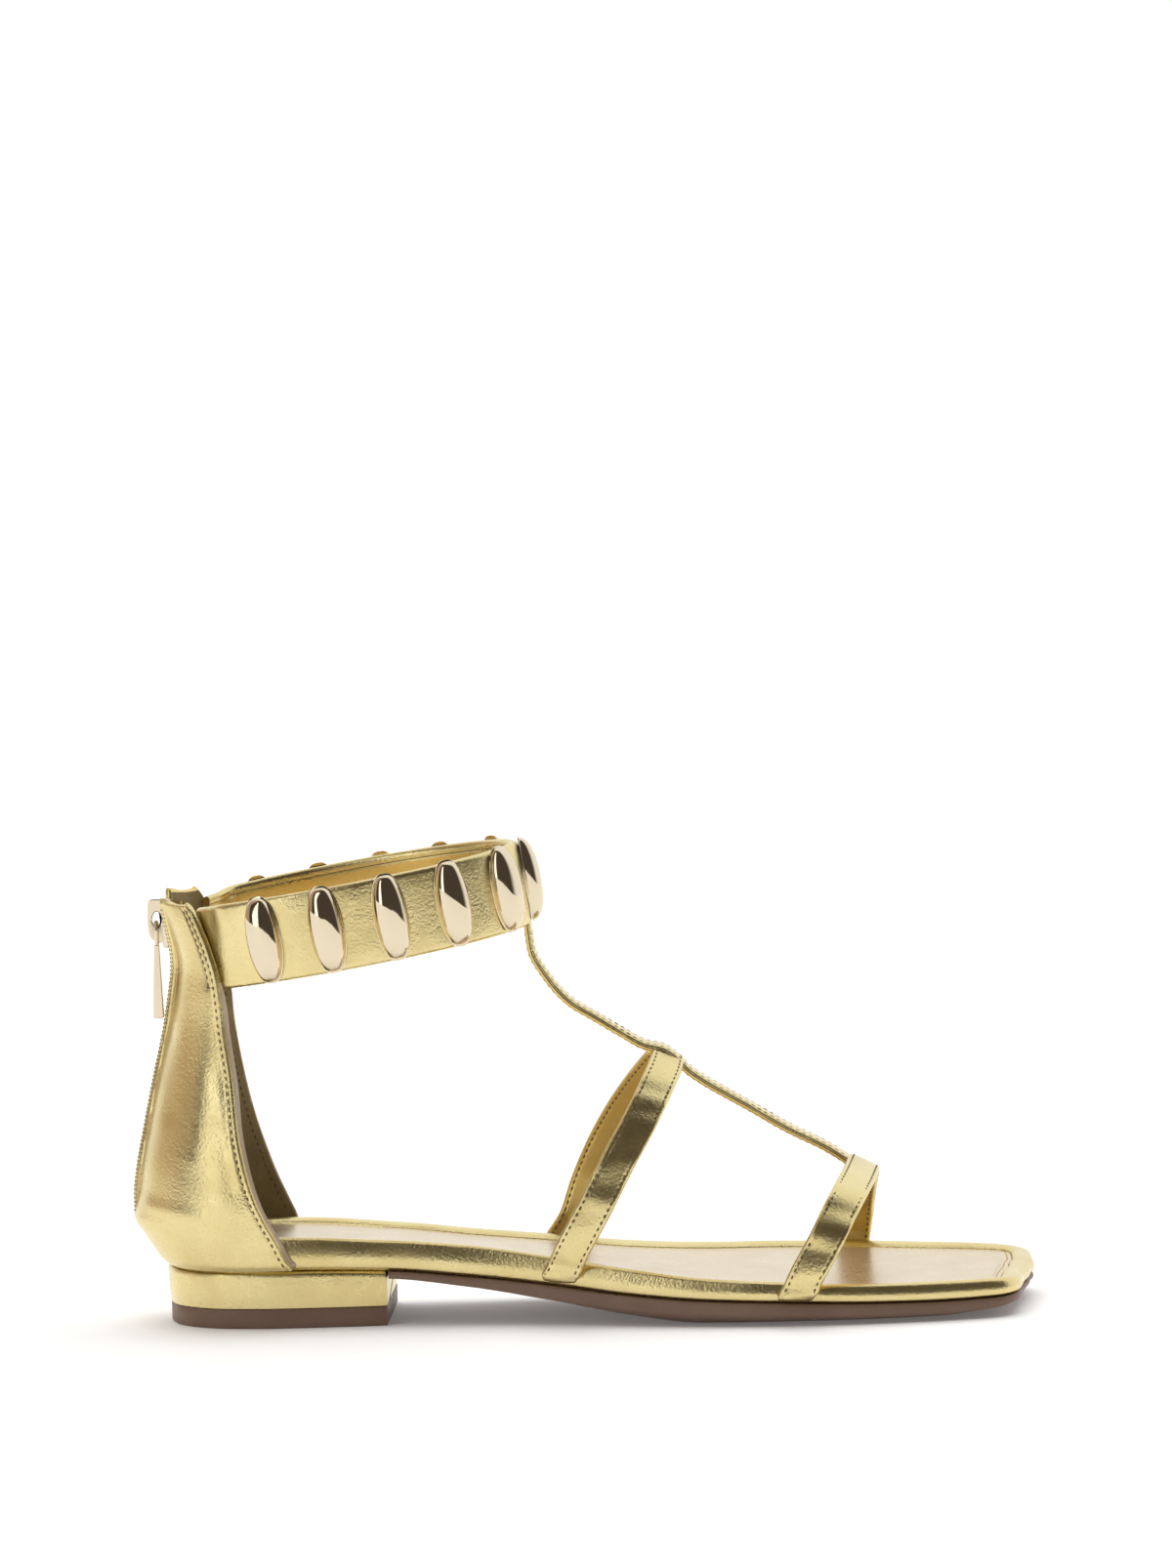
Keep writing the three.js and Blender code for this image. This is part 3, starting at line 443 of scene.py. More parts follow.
# Sole: outline of the footbed from the middle of the heel's back to the middle of the toe
sole = {"length": 241.0, "back": -31.6, "ballWidth": 80.0, "seatHeight": 16.4, "sideHeight": 9.0,
        "rimWidth": 6.0, "recess": 2.6, "gap": 0.3, "stepsPerRow": 14, "breastRow": 5}
outlineRows = [
    (0.0, 0.0, 0.0, 0.0), (0.009, 0.131, 0.009, 0.131), (0.038, 0.241, 0.038, 0.241),
    (0.09, 0.312, 0.09, 0.312), (0.164, 0.334, 0.164, 0.334), (0.258, 0.329, 0.258, 0.315),
    (0.347, 0.337, 0.347, 0.31), (0.446, 0.381, 0.438, 0.335), (0.538, 0.446, 0.53, 0.385),
    (0.617, 0.495, 0.617, 0.441), (0.695, 0.519, 0.704, 0.475), (0.778, 0.512, 0.795, 0.479),
    (0.866, 0.477, 0.886, 0.437), (0.928, 0.432, 0.948, 0.387), (0.964, 0.387, 0.984, 0.341),
    (0.98, 0.306, 0.998, 0.256), (0.986, 0.156, 0.999, 0.112), (0.994, 0.0, 0.994, 0.0)]
outline = readTable(("outerX", "outerY", "innerX", "innerY"), outlineRows, False, ("outerX", "innerX"))
lastRow = len(outlineRows) - 1
heights = readTable(("x", "bed", "edge", "keel", "outer", "inner"), [
    (0.0, 1.0, 0.86, 0.84, 1.04, 1.02), (0.17, 0.99, 0.85, 0.83, 0.99, 0.91),
    (0.258, 0.955, 0.82, 0.8, 0.92, 0.81), (0.347, 0.84, 0.665, 0.64, 0.94, 0.77),
    (0.442, 0.695, 0.45, 0.39, 0.86, 0.76), (0.534, 0.53, 0.275, 0.135, 0.78, 0.75),
    (0.617, 0.445, 0.2, 0.0, 0.67, 0.74), (0.704, 0.405, 0.165, 0.0, 0.61, 0.76),
    (0.795, 0.36, 0.14, 0.0, 0.57, 0.79), (0.886, 0.34, 0.13, 0.012, 0.58, 0.78),
    (0.949, 0.355, 0.18, 0.11, 0.55, 0.73), (1.0, 0.42, 0.33, 0.31, 0.42, 0.5)])


def lengthShare(x):
    return (np.asarray(x, float) - sole["back"]) / sole["length"]


def bedAt(x):
    return sole["seatHeight"] * heights["bed"](lengthShare(x))


def rimHeightAt(x, y):
    outer, inner = heights["outer"](lengthShare(x)), heights["inner"](lengthShare(x))
    quarter = sole["ballWidth"] / 4
    return sole["sideHeight"] * (outer + (inner - outer) * smoothStep(-quarter, quarter, y))


def outlineSide(side, rows, inset=0.0):
    sign = -1 if side == "outer" else 1
    rows = np.asarray(rows, float)

    def place(at):
        return np.stack([sole["back"] + sole["length"] * outline[side + "X"](at),
                         sign * sole["ballWidth"] * outline[side + "Y"](at)], -1)

    ahead = place(np.minimum(rows + 0.05, lastRow)) - place(np.maximum(rows - 0.05, 0))
    out = unit(np.stack([-sign * ahead[..., 1], sign * ahead[..., 0]], -1))
    out[rows <= 0] = (-1, 0)
    out[rows >= lastRow] = (1, 0)
    return place(rows) - out * inset, out


def outlineRing(inset, firstRow, height):
    count = (lastRow - firstRow) * sole["stepsPerRow"]
    rows = firstRow + np.arange(count + 1) / sole["stepsPerRow"]
    outer, inner = outlineSide("outer", rows, inset)[0], outlineSide("inner", rows, inset)[0]
    if firstRow:
        outer[0, 0] = outlineSide("outer", [firstRow])[0][0, 0]
        inner[0, 0] = outlineSide("inner", [firstRow])[0][0, 0]
    flat = np.concatenate([outer, inner[0 if firstRow else 1:count][::-1]])
    return np.column_stack([flat, height(flat[:, 0], flat[:, 1])])


def breastAt():
    return outlineSide("outer", [sole["breastRow"]])[0][0, 0]


# Footbed: wrapped leather over the board and foam, from its underside over the rim to the recess
rimTable = readTable(("inset", "up"), [
    (0.26, 0.0), (0.05, 0.14), (0.0, 0.42), (0.06, 0.72), (0.2, 0.93), (0.42, 1.0), (0.72, 0.95),
    (0.95, 0.83)], False)


def makeFootbed():
    rings = []
    for at in np.linspace(0, 7, 36):
        inset, up = float(rimTable["inset"](at)), float(rimTable["up"](at))
        rings.append(outlineRing(inset * sole["rimWidth"], 0, lambda x, y: bedAt(x) + up * rimHeightAt(x, y)))
    for inset, down in ((1.0, 0.55), (1.02, 0.8), (1.02, 1.0)):
        rings.append(outlineRing(inset * sole["rimWidth"], 0, lambda x, y: bedAt(x) + rimHeightAt(x, y)
                                 - sole["recess"] * down))
    return finishPiece(ringSolid("footbed", rings, goldLeather, shared=True), "gold_leather", "footbed")


sock = {"inset": 6.15, "thickness": 1.0, "stitchInset": 7.6, "groove": 0.18}


def sockHeight(x, y):
    return bedAt(x) + rimHeightAt(x, y) - sole["recess"] + sole["gap"] + sock["thickness"]


def makeSock():
    inset = sock["inset"]
    rings = [outlineRing(inset, 0, lambda x, y: sockHeight(x, y) - sock["thickness"]),
             outlineRing(inset, 0, lambda x, y: sockHeight(x, y) - 0.35),
             outlineRing(inset + 0.2, 0, lambda x, y: sockHeight(x, y) - 0.1),
             outlineRing(inset + 0.6, 0, sockHeight)]
    for deeper in (1.0, 1.3, 1.6, 2.2):
        dip = sock["groove"] if deeper == 1.3 else 0.0
        rings.append(outlineRing(inset + deeper, 0, lambda x, y: sockHeight(x, y) - dip))
    return finishPiece(ringSolid("sockLining", rings, sockLeather, shared=True), "gold_lining", "sock_lining")


def makeOutsole():
    start = breastAt()

    def edgeAt(x):
        return sole["seatHeight"] * heights["edge"](lengthShare(x))

    def keelAt(x):
        return sole["seatHeight"] * heights["keel"](lengthShare(x))

    def mix(share):
        return lambda x, y=None: edgeAt(x) + share * (keelAt(x) - edgeAt(x))

    def drawnIn(share, height):
        kept = 1 - share * sole["ballWidth"] / 2 / (sole["back"] + sole["length"] - start)
        ring = outlineRing(0, sole["breastRow"], lambda x, y: x * 0)
        ring[:, 0] = start + (ring[:, 0] - start) * kept
        ring[:, 1] *= 1 - share
        ring[:, 2] = height(ring[:, 0])
        return ring

    def edgeRing(inset, height):
        return outlineRing(inset, sole["breastRow"], height)

    top = sole["gap"]
    rings = [drawnIn(0.3, mix(1)), drawnIn(0.22, mix(0.92)), drawnIn(0.15, mix(0.72)),
             drawnIn(0.09, mix(0.46)), edgeRing(1.5, mix(0.22)), edgeRing(0.9, mix(0.06)),
             edgeRing(0.6, mix(0)),
             edgeRing(0.38, lambda x, y: edgeAt(x) + 0.22),
             edgeRing(0.3, lambda x, y: edgeAt(x) + 0.6),
             edgeRing(0.3, lambda x, y: bedAt(x) - top - 0.9),
             edgeRing(0.38, lambda x, y: bedAt(x) - top - 0.3), edgeRing(0.7, lambda x, y: bedAt(x) - top)]
    return finishPiece(ringSolid("outsole", rings, brownSole), "brown_sole", "outsole")


# Heel: flat block in wrapped leather on a brown top lift
heel = {"overhang": 0.8, "width": 51.0, "lift": 5.4, "taper": 0.7, "steps": 16,
        "seam": ((-14, 0.6), (21, 8.2))}
heelTable = readTable(("x", "y"), [(0.0, 0.0), (0.032, 0.2), (0.125, 0.357), (0.29, 0.465), (0.53, 0.5),
                                   (0.77, 0.488), (1.0, 0.457)], False, ("x",))


def heelRing(inset, height, corner=0.0):
    back = sole["back"] - heel["overhang"]
    front = breastAt() - 2 * sole["gap"]
    count = 6 * heel["steps"]
    rows = np.arange(count + 1) / heel["steps"]

    def place(at):
        return np.stack([back + (front - back) * heelTable["x"](at), heel["width"] * heelTable["y"](at)], -1)

    ahead = place(np.minimum(rows + 0.05, 6)) - place(np.maximum(rows - 0.05, 0))
    out = unit(np.stack([-ahead[:, 1], ahead[:, 0]], -1))
    out[0] = (-1, 0)
    side = place(rows) - out * inset
    side[-1, 0] = front - corner
    side[:, 0] = np.minimum(side[:, 0], front - corner)
    outer = side * (1, -1)
    flat = np.concatenate([outer, side[1:][::-1]])
    return np.column_stack([flat, height(flat[:, 0])])


def makeHeel():
    def level(z):
        return lambda x: x * 0 + z

    def top(down):
        return lambda x: bedAt(x) - sole["gap"] - down

    lift, taper = heel["lift"], heel["taper"]
    rings = [heelRing(taper + 0.5, level(0), 0.3), heelRing(taper + 0.15, level(0.25), 0.1),
             heelRing(taper, level(0.6)), heelRing(taper - 0.05, level(lift - 0.35)),
             heelRing(taper + 0.15, level(lift - 0.02), 0.1)]
    finishPiece(ringSolid("topLift", rings, brownSole, shared=True), "brown_sole", "top_lift")
    rings = [heelRing(taper + 0.4, level(lift), 0.4), heelRing(taper - 0.05, level(lift + 0.25), 0.1)]
    for share in np.linspace(0.08, 1, 12):
        swell = 0.18 * math.sin(math.pi * share)
        rings.append(heelRing(taper * (1 - share) - swell,
                              lambda x: lift + (bedAt(x) - sole["gap"] - 1.2 - lift) * share))
    rings += [heelRing(0.15, top(0.7), 0.15), heelRing(0.6, top(0.25), 0.5), heelRing(1.3, top(0.05), 1.0)]
    finishPiece(ringSolid("heelBlock", rings, goldLeather, shared=True), "gold_leather", "heel_block")
    front = breastAt() - 2 * sole["gap"]
    corners = [(front + out, y, lift + z + up) for out in (-0.3, 0.12) for up in (-0.2, 0.2)
               for y, z in heel["seam"]]
    faces = [(0, 2, 3, 1), (4, 5, 7, 6), (0, 1, 5, 4), (2, 6, 7, 3), (0, 4, 6, 2), (1, 3, 7, 5)]
    finishPiece(makeMesh("heelSeam", corners, faces, edgePaint), "gold_leather", "heel_block")


makeFootbed()
makeSock()
makeOutsole()
makeHeel()
print("sole, footbed and heel made")

# Quarters: two pieces of leather that meet at the back, with the zip between them
counter = {"height": 101.0, "width": 61.0, "length": 37.0, "leather": 2.2, "slot": 5.0, "slotBottom": 30.0,
           "rows": 170, "columns": 90, "round": 0.9, "stitchInset": 1.8, "corner": 3.4,
           "flare": (5.6, 0.0), "farFlare": (4.6, 2.2), "lip": 1.2, "secondRow": 1.6,
           "topGap": 1.4, "frontFlare": 1.6, "fin": 2.0, "finWidth": 2.3, "behindFin": 1.5,
           "groove": 0.2, "zipGroove": 0.34}
counterTable = readTable(("z", "back", "outer", "inner", "middle", "half"), [
    (0.0, -0.024, 0.976, 0.93, 0.7, 0.453), (0.016, -0.07, 0.95, 0.92, 0.7, 0.473),
    (0.04, -0.115, 0.915, 0.9, 0.7, 0.48), (0.077, -0.181, 0.87, 0.884, 0.7, 0.488),
    (0.132, -0.265, 0.79, 0.82, 0.71, 0.496), (0.181, -0.262, 0.73, 0.76, 0.73, 0.5),
    (0.25, -0.241, 0.668, 0.684, 0.77, 0.5), (0.38, -0.17, 0.596, 0.572, 0.88, 0.492),
    (0.52, -0.086, 0.56, 0.49, 1.04, 0.484), (0.655, 0.0, 0.505, 0.435, 1.22, 0.5),
    (0.79, 0.062, 0.463, 0.41, 1.4, 0.545), (0.87, 0.09, 0.41, 0.375, 1.45, 0.566),
    (0.94, 0.103, 0.345, 0.32, 1.45, 0.566), (1.0, 0.116, 0.275, 0.26, 1.45, 0.566)])


def counterPlace(share):
    return {key: sole["back"] + counter["length"] * counterTable[key](share)
            for key in ("back", "middle", "outer", "inner")}


def counterPoint(share, turn):
    share, turn = np.broadcast_arrays(np.asarray(share, float), np.asarray(turn, float))
    place = counterPlace(share)
    reach = place["middle"] - place["back"]
    front = np.where(turn < 0, place["outer"], place["inner"])
    full = np.where(front < place["middle"], np.arccos(np.clip((place["middle"] - front) / reach, -1, 1)),
                    np.pi / 2 + (front - place["middle"]) / reach)
    angle = full * np.abs(turn)
    half = counter["width"] * counterTable["half"](share)
    past = angle > np.pi / 2
    x = np.where(past, place["middle"] + reach * (angle - np.pi / 2), place["middle"] - reach * np.cos(angle))
    y = np.sign(turn) * half * np.where(past, 1, np.sin(angle))
    return np.stack([x, y, sole["seatHeight"] + counter["height"] * share], -1)


def turnAtWidth(share, width):
    place = {key: counterTable[key](share) * counter["length"] for key in ("back", "middle", "outer")}
    full = np.arccos(np.clip((place["middle"] - place["outer"]) / (place["middle"] - place["back"]), -1, 1))
    return np.arcsin(width / (counter["width"] * counterTable["half"](share))) / full


def runLength(grid, fromEnd):
    step = np.linalg.norm(np.diff(grid, axis=1), axis=-1)
    if fromEnd:
        return np.concatenate([np.cumsum(step[:, ::-1], axis=1)[:, ::-1], np.zeros((len(grid), 1))], 1)
    return np.concatenate([np.zeros((len(grid), 1)), np.cumsum(step, axis=1)], 1)


def surfaceNormals(grid, centre):
    normal = unit(np.cross(np.gradient(grid, axis=0), np.gradient(grid, axis=1)))
    out = grid - centre
    return normal * np.sign((normal * out).sum(-1, keepdims=True).mean())


def quarterGrid(side):
    sign = -1 if side == "outer" else 1
    t = np.linspace(0, 1, counter["rows"])
    share = 0.25 * t + 0.75 * (0.5 - 0.5 * np.cos(np.pi * t))
    t = np.linspace(0, 1, counter["columns"])
    across = 0.3 * t + 0.7 * (0.5 - 0.5 * np.cos(np.pi * t))
    z = sole["seatHeight"] + counter["height"] * share
    low = counter["slotBottom"]
    width = 0.02 + (counter["slot"] / 2) * smoothStep(low - 1.5, low + 1.5, z)
    width = width + counter["topGap"] * smoothStep(99, 108, z)
    start = turnAtWidth(share, width)

    def cornerCut(radius):
        down = np.clip(radius - counter["height"] * (1 - share), 0, radius)
        return radius - np.sqrt(np.maximum(radius ** 2 - down ** 2, 0))

    wide = counter["width"] / 2
    end = 1 - cornerCut(counter["corner"]) / wide
    start = start + cornerCut(counter["corner"] / 2) / wide
    turn = start[:, None] + (end - start)[:, None] * across[None, :]
    grid = counterPoint(share[:, None], sign * turn)
    flare, rise = counter["flare"] if side == "outer" else counter["farFlare"]
    high = smoothStep(96, 124, z)[:, None]
    grid[..., 0] -= high * (flare * (1 - across) ** 1.5 + counter["frontFlare"] * across)
    grid[..., 2] += rise * smoothStep(104, 118, z)[:, None]
    fin = (smoothStep(low - 2, low + 8, z) * smoothStep(120, 100, z))[:, None]
    edgeShare = 1 - np.clip(runLength(grid, False) / counter["finWidth"], 0, 1)
    grid[..., 0] += fin * (counter["behindFin"] * smoothStep(0.6, 0.1, across) - counter["fin"] * edgeShare)
    return grid


quarterCreases = [
    ((-30, 60), (-26, 100), 3.0, -0.35), ((-22, 48), (-17, 92), 3.5, 0.30),
    ((-12, 40), (-15, 70), 2.6, -0.22), ((-36, 34), (-20, 31), 2.2, 0.25),
    ((-14, 100), (-20, 116), 2.0, -0.3)]


def grooveLine(run, at, wide):
    return np.exp(-((run - at) / wide) ** 2)


def makeQuarter(side):
    grid = quarterGrid(side)
    normal = surfaceNormals(grid, np.array([10.0, 0, 60]))
    fromZip, fromFront = runLength(grid, False), runLength(grid, True)
    fromTop = grid[-1:, :, 2] - grid[..., 2]
    below = grid[..., 2] < counter["slotBottom"] - 2
    edge = np.minimum(np.minimum(fromZip + 8 * below, fromFront), fromTop)
    bulge = np.sqrt(1 - (1 - np.clip(edge / counter["round"], 0, 1)) ** 2)
    half = counter["leather"] / 2
    relief = creaseField(grid[..., (0, 2)], quarterCreases) * smoothStep(1.0, 5.0, edge)
    seamLine = grooveLine(fromFront, counter["stitchInset"], 0.45) * smoothStep(0, 3, fromTop)
    besideZip = smoothStep(counter["slotBottom"], counter["slotBottom"] + 4, grid[..., 2])
    zipLine = (grooveLine(fromZip, 2.3, 0.3) + 0.6 * grooveLine(fromZip, 1.35, 0.22)) * besideZip
    secondLine = grooveLine(fromFront, counter["stitchInset"] + counter["secondRow"], 0.45)
    secondLine = secondLine * smoothStep(94, 96, grid[..., 2]) * smoothStep(0, 3, fromTop)
    groove = -counter["groove"] * (seamLine + secondLine) - counter["zipGroove"] * zipLine
    outside = grid + normal * (half * (bulge - 1) + relief + groove)[..., None]
    inside = grid - normal * (half * (1 + bulge))[..., None]
    ahead = unit(np.gradient(grid, axis=1))
    lip = counter["lip"] * smoothStep(0, 0.2, fromFront) * (1 - smoothStep(0.35, 2.6, fromFront))
    inside = inside + ahead * (lip * smoothStep(101, 88, grid[..., 2]))[..., None]
    middle = grid - normal * half
    rim = edge < 0.02
    outside[rim], inside[rim] = middle[rim], middle[rim]
    rows, columns = grid.shape[:2]
    count = rows * columns
    faces = gridFaces(rows, columns) + gridFaces(rows, columns, start=count)
    height = grid[:-1, :-1, 2].ravel()
    nearEdge = (edge < 0.75)[:-1, :-1].ravel()
    lining = np.where(nearEdge, np.where(height < 96, 2, 0), 1)
    lining[(height > 119) & (side == "inner")] = 3
    slots = [0] * (len(faces) // 2) + lining.tolist()
    bottom = [(j, j + 1, count + j + 1, count + j) for j in range(columns - 1)]
    back = [(i * columns, (i + 1) * columns, count + (i + 1) * columns, count + i * columns)
            for i in range(rows - 1) if grid[i, 0, 2] < counter["slotBottom"] + 2]
    faces += bottom + back
    slots += [0] * (len(bottom) + len(back))
    name = "quarter" + side.capitalize()
    piece = makeMesh(name, np.concatenate([outside.reshape(-1, 3), inside.reshape(-1, 3)]), faces,
                     [goldLeather, taupeLining, rawEdge, goldLining], 60, slots)
    finishPiece(piece, "gold_leather", "upper")
    return outside, inside, normal, fromZip, fromFront


def insetLine(surface, normal, run, distance, low=0.0, high=1e3):
    places, facing = [], []
    for row, lean, length in zip(surface, normal, run):
        order = np.argsort(length)
        place = np.array([np.interp(distance, length[order], row[order, k]) for k in range(3)])
        if low <= place[2] <= high:
            places.append(place)
            facing.append([np.interp(distance, length[order], lean[order, k]) for k in range(3)])
    return np.array(places), np.array(facing)


quarters = {side: makeQuarter(side) for side in ("outer", "inner")}
print("quarters made")

# Ankle cuff: a padded band, tipped up at the front and on the inner side
cuff = {"height": 100.6, "length": 101.0, "width": 64.0, "middle": 22.0, "band": 23.4, "wall": 2.8,
        "pitch": 9.3, "roll": 1.8, "end": 152.0, "steps": 420}
studs = {"count": 11, "pitch": 17.8, "shift": 2.4, "width": 9.8, "height": 24.3, "lift": 0.45, "dome": 4.0,
         "taper": 0.28, "edge": 0.5, "rings": 22, "sides": 56}


def cuffPoint(angle, out, up):
    angle, out, up = np.broadcast_arrays(*(np.asarray(v, float) for v in (angle, out, up)))
    a, b = cuff["length"] / 2, cuff["width"] / 2
    normal = unit(np.stack([b * np.cos(angle), a * np.sin(angle)], -1))
    point = np.stack([a * np.cos(angle) + normal[..., 0] * out,
                      b * np.sin(angle) + normal[..., 1] * out, up], -1)
    roll, pitch = math.radians(cuff["roll"]), math.radians(-cuff["pitch"])
    tip = Matrix.Rotation(roll, 3, "X") @ Matrix.Rotation(pitch, 3, "Y")
    return point @ np.array(tip).T + (cuff["middle"], 0, cuff["height"])


angleSteps = np.linspace(-math.pi, math.pi, 4001)
arcSteps = np.concatenate([[0], np.cumsum(np.hypot(
    cuff["length"] / 2 * np.sin((angleSteps[1:] + angleSteps[:-1]) / 2),
    cuff["width"] / 2 * np.cos((angleSteps[1:] + angleSteps[:-1]) / 2)) * np.diff(angleSteps))])
arcSteps -= np.interp(0, angleSteps, arcSteps)


def cuffAngle(length):
    return np.interp(length, arcSteps, angleSteps)


def cuffProfile():
    # Half wall and height round the band: outer face crowned, edges rolled,
    # lining set in below the turned edge
    wall, band, edge = cuff["wall"] / 2, cuff["band"], 1.3

    def rolled(first, last, middle):
        return [(1.4 * math.cos(t), middle + edge * math.sin(t)) for t in np.linspace(first, last, 8)]

    outer = [(wall + 0.12 * math.sin(math.pi * t), edge + (band - 2 * edge) * t)
             for t in np.linspace(0, 1, 22)]
    top = rolled(0.25, math.pi - 0.25, band - edge)
    inner = [(-wall, band - edge), (-wall, band - 2.3), (-wall + 0.28, band - 2.55)]
    inner += [(-wall + 0.22, band - 3.2 - (band - 6.4) * t) for t in np.linspace(0, 1, 8)]
    inner += [(-wall + 0.28, 2.55), (-wall, 2.3), (-wall, edge)]
    low = rolled(math.pi + 0.25, 2 * math.pi - 0.25, edge)
    liningStart = len(outer) + len(top) + 3
    return np.array(outer + top + inner + low), liningStart, liningStart + 8


def tuckUnderQuarters(points):
    # How far the band is drawn in so that its ends lie inside the quarters
    share = np.clip((points[..., 2] - sole["seatHeight"]) / counter["height"], 0, 1)
    place = counterPlace(share)
    front = np.where(points[..., 1] < 0, place["outer"], place["inner"])
    room = counter["leather"] + 0.15
    reach = place["middle"] - place["back"] - room
    half = counter["width"] * counterTable["half"](share) - room
    fromMiddle = np.minimum(points[..., 0] - place["middle"], 0)
    size = np.hypot(fromMiddle / reach, points[..., 1] / half)
    drawn = np.where(size > 1, 1 / size - 1, 0) * smoothStep(10, -1, points[..., 0] - front)
    return np.stack([fromMiddle * drawn, points[..., 1] * drawn, drawn * 0], -1)


def makeCuff():
    profile, liningStart, liningEnd = cuffProfile()
    end = math.radians(cuff["end"])
    angles = cuffAngle(np.linspace(*np.interp([-end, end], angleSteps, arcSteps), cuff["steps"]))
    lengths = np.interp(angles, angleSteps, arcSteps)
    phase = (lengths - studs["shift"]) / studs["pitch"]
    puff = 0.22 * (0.5 - 0.5 * np.cos(2 * np.pi * phase))
    outerness = (profile[:, 0] > 0.6).astype(float) * smoothStep(0, 5, profile[:, 1]) \
        * smoothStep(0, 5, cuff["band"] - profile[:, 1])
    out = profile[None, :, 0] - cuff["wall"] / 2 + puff[:, None] * outerness[None, :]
    points = cuffPoint(angles[:, None], out, profile[None, :, 1])
    points += tuckUnderQuarters(cuffPoint(angles[:, None], 0, profile[None, :, 1]))
    rows, columns = points.shape[:2]
    faces = gridFaces(rows, columns, wrap=True)
    slots = [2 if k % columns in (liningStart - 2, liningEnd) else int(liningStart <= k % columns < liningEnd)
             for k in range(len(faces))]
    faces += [list(range(columns)), list(range((rows - 1) * columns, rows * columns))]
    piece = makeMesh("cuffBand", points.reshape(-1, 3), faces, [goldLeather, goldLining, edgePaint], 45,
                     slots + [0, 0])
    return finishPiece(piece, "gold_leather", "upper")


def makeStuds():
    points, faces = [], []
    for k in range(studs["count"]):
        at = studs["shift"] + (k - (studs["count"] - 1) / 2) * studs["pitch"]
        first, last = cuffAngle(at - studs["width"] / 2), cuffAngle(at + studs["width"] / 2)
        turn = np.linspace(0, 2 * math.pi, studs["sides"], endpoint=False)
        plan = np.stack([np.cos(turn), np.sin(turn)], -1)
        plan = np.sign(plan) * np.abs(plan) ** 0.6
        plan[:, 0] *= 1 - studs["taper"] * plan[:, 1] ** 2
        sizes = [(1.0, 0.0), (1.0, 0.3), (0.985, 0.42), (0.965, 0.46)]
        for t in np.linspace(0.03, 1, studs["rings"]):
            size = math.cos(t * math.pi / 2)
            rise = (1 - size ** 2.4) ** 0.52
            sizes.append((0.965 * size, 0.46 + (studs["edge"] + studs["dome"] - 0.46) * rise))
        start = len(points)
        for size, out in sizes:
            across, up = plan[:, 0] * size, plan[:, 1] * size
            ring = cuffPoint((first + last) / 2 + across * (last - first) / 2, sole["gap"] + out,
                             cuff["band"] / 2 + studs["lift"] + up * studs["height"] / 2)
            points += ring.tolist()
        faces += gridFaces(len(sizes), studs["sides"], wrap=True, start=start)
        faces.append(list(range(start, start + studs["sides"])))
        faces.append(list(range(len(points) - studs["sides"], len(points))))
    piece = makeMesh("cuffStuds", points, faces, champagne, 40)
    return finishPiece(piece, "champagne_metal", *[f"stud_{k + 1:02d}" for k in range(studs["count"])])


makeCuff()
makeStuds()
print("cuff and studs made")

# Straps: two layers stitched together, from the same tables as the solids
strap = {"width": 9.5, "thickness": 2.0, "drop": 72.0, "instepShare": 0.575, "seam": 0.4, "tilt": 0.5,
         "axis": 0.3, "lean": 0.55, "stitchInset": 1.25, "steps": 12}
centreRows = np.array([
    (0.4228, 0.0, -0.075), (0.422, 0.0, 0.015), (0.4275, 0.0, 0.103), (0.4452, 0.001, 0.212),
    (0.469, 0.002, 0.303), (0.498, 0.004, 0.366), (0.5286, 0.006, 0.43), (0.5544, 0.008, 0.48),
    (0.5755, 0.01, 0.498), (0.591, 0.012, 0.535), (0.604, 0.013, 0.581), (0.623, 0.015, 0.627),
    (0.675, 0.021, 0.731), (0.717, 0.027, 0.817), (0.76, 0.032, 0.892), (0.796, 0.036, 0.972)])
crossRows = {
    "instep": (0.4635, 0.4525, [
        (0.469, -0.429, 0.291), (0.5, -0.444, 0.48), (0.525, -0.406, 0.638), (0.5515, -0.325, 0.79),
        (0.569, -0.219, 0.9), (0.5795, -0.1, 0.9715), (0.582, 0.0, 1.0), (0.577, 0.081, 0.986),
        (0.5565, 0.169, 0.903), (0.5245, 0.279, 0.748), (0.4987, 0.354, 0.592), (0.4797, 0.3875, 0.446),
        (0.465, 0.385, 0.307)]),
    "toe": (0.7295, 0.7888, [
        (0.7375, -0.543, 0.374), (0.7568, -0.533, 0.577), (0.778, -0.444, 0.81), (0.795, -0.2625, 0.95),
        (0.8033, -0.05, 1.0), (0.8046, 0.05, 0.99), (0.8033, 0.1875, 0.912), (0.7995, 0.3375, 0.752),
        (0.7955, 0.454, 0.555), (0.7915, 0.496, 0.387)])}
bandFront = cuffPoint(0, -cuff["wall"] / 2, 0)
bandTop = cuffPoint(0, -cuff["wall"] / 2, cuff["band"])
centreZ = bandFront[2] - strap["drop"] * centreRows[:, 2]


def smoothRoute(rows):
    rows = np.array(rows, float)
    at = np.linspace(0, len(rows) - 1, (len(rows) - 1) * strap["steps"] + 1)
    read = np.stack([smoothTable(np.arange(len(rows)), rows[:, k])(at) for k in range(6)], -1)
    return read[:, :3], unit(read[:, 3:])


def centreRoute():
    lean = (bandTop[0] - bandFront[0]) / (bandTop[2] - bandFront[2])
    rows = []
    for (x, y, drop), z in zip(centreRows, centreZ):
        along = bandFront[0] + (z - bandFront[2]) * lean if drop < 0.05 else sole["back"] + sole["length"] * x
        rows.append((along, sole["ballWidth"] * y, z, 1, 0, 1))
    return smoothRoute(rows)


def rowAt(side, x):
    rows = np.linspace(0, lastRow - 3, 4000)
    return float(np.interp(x, outlineSide(side, rows)[0][:, 0], rows))


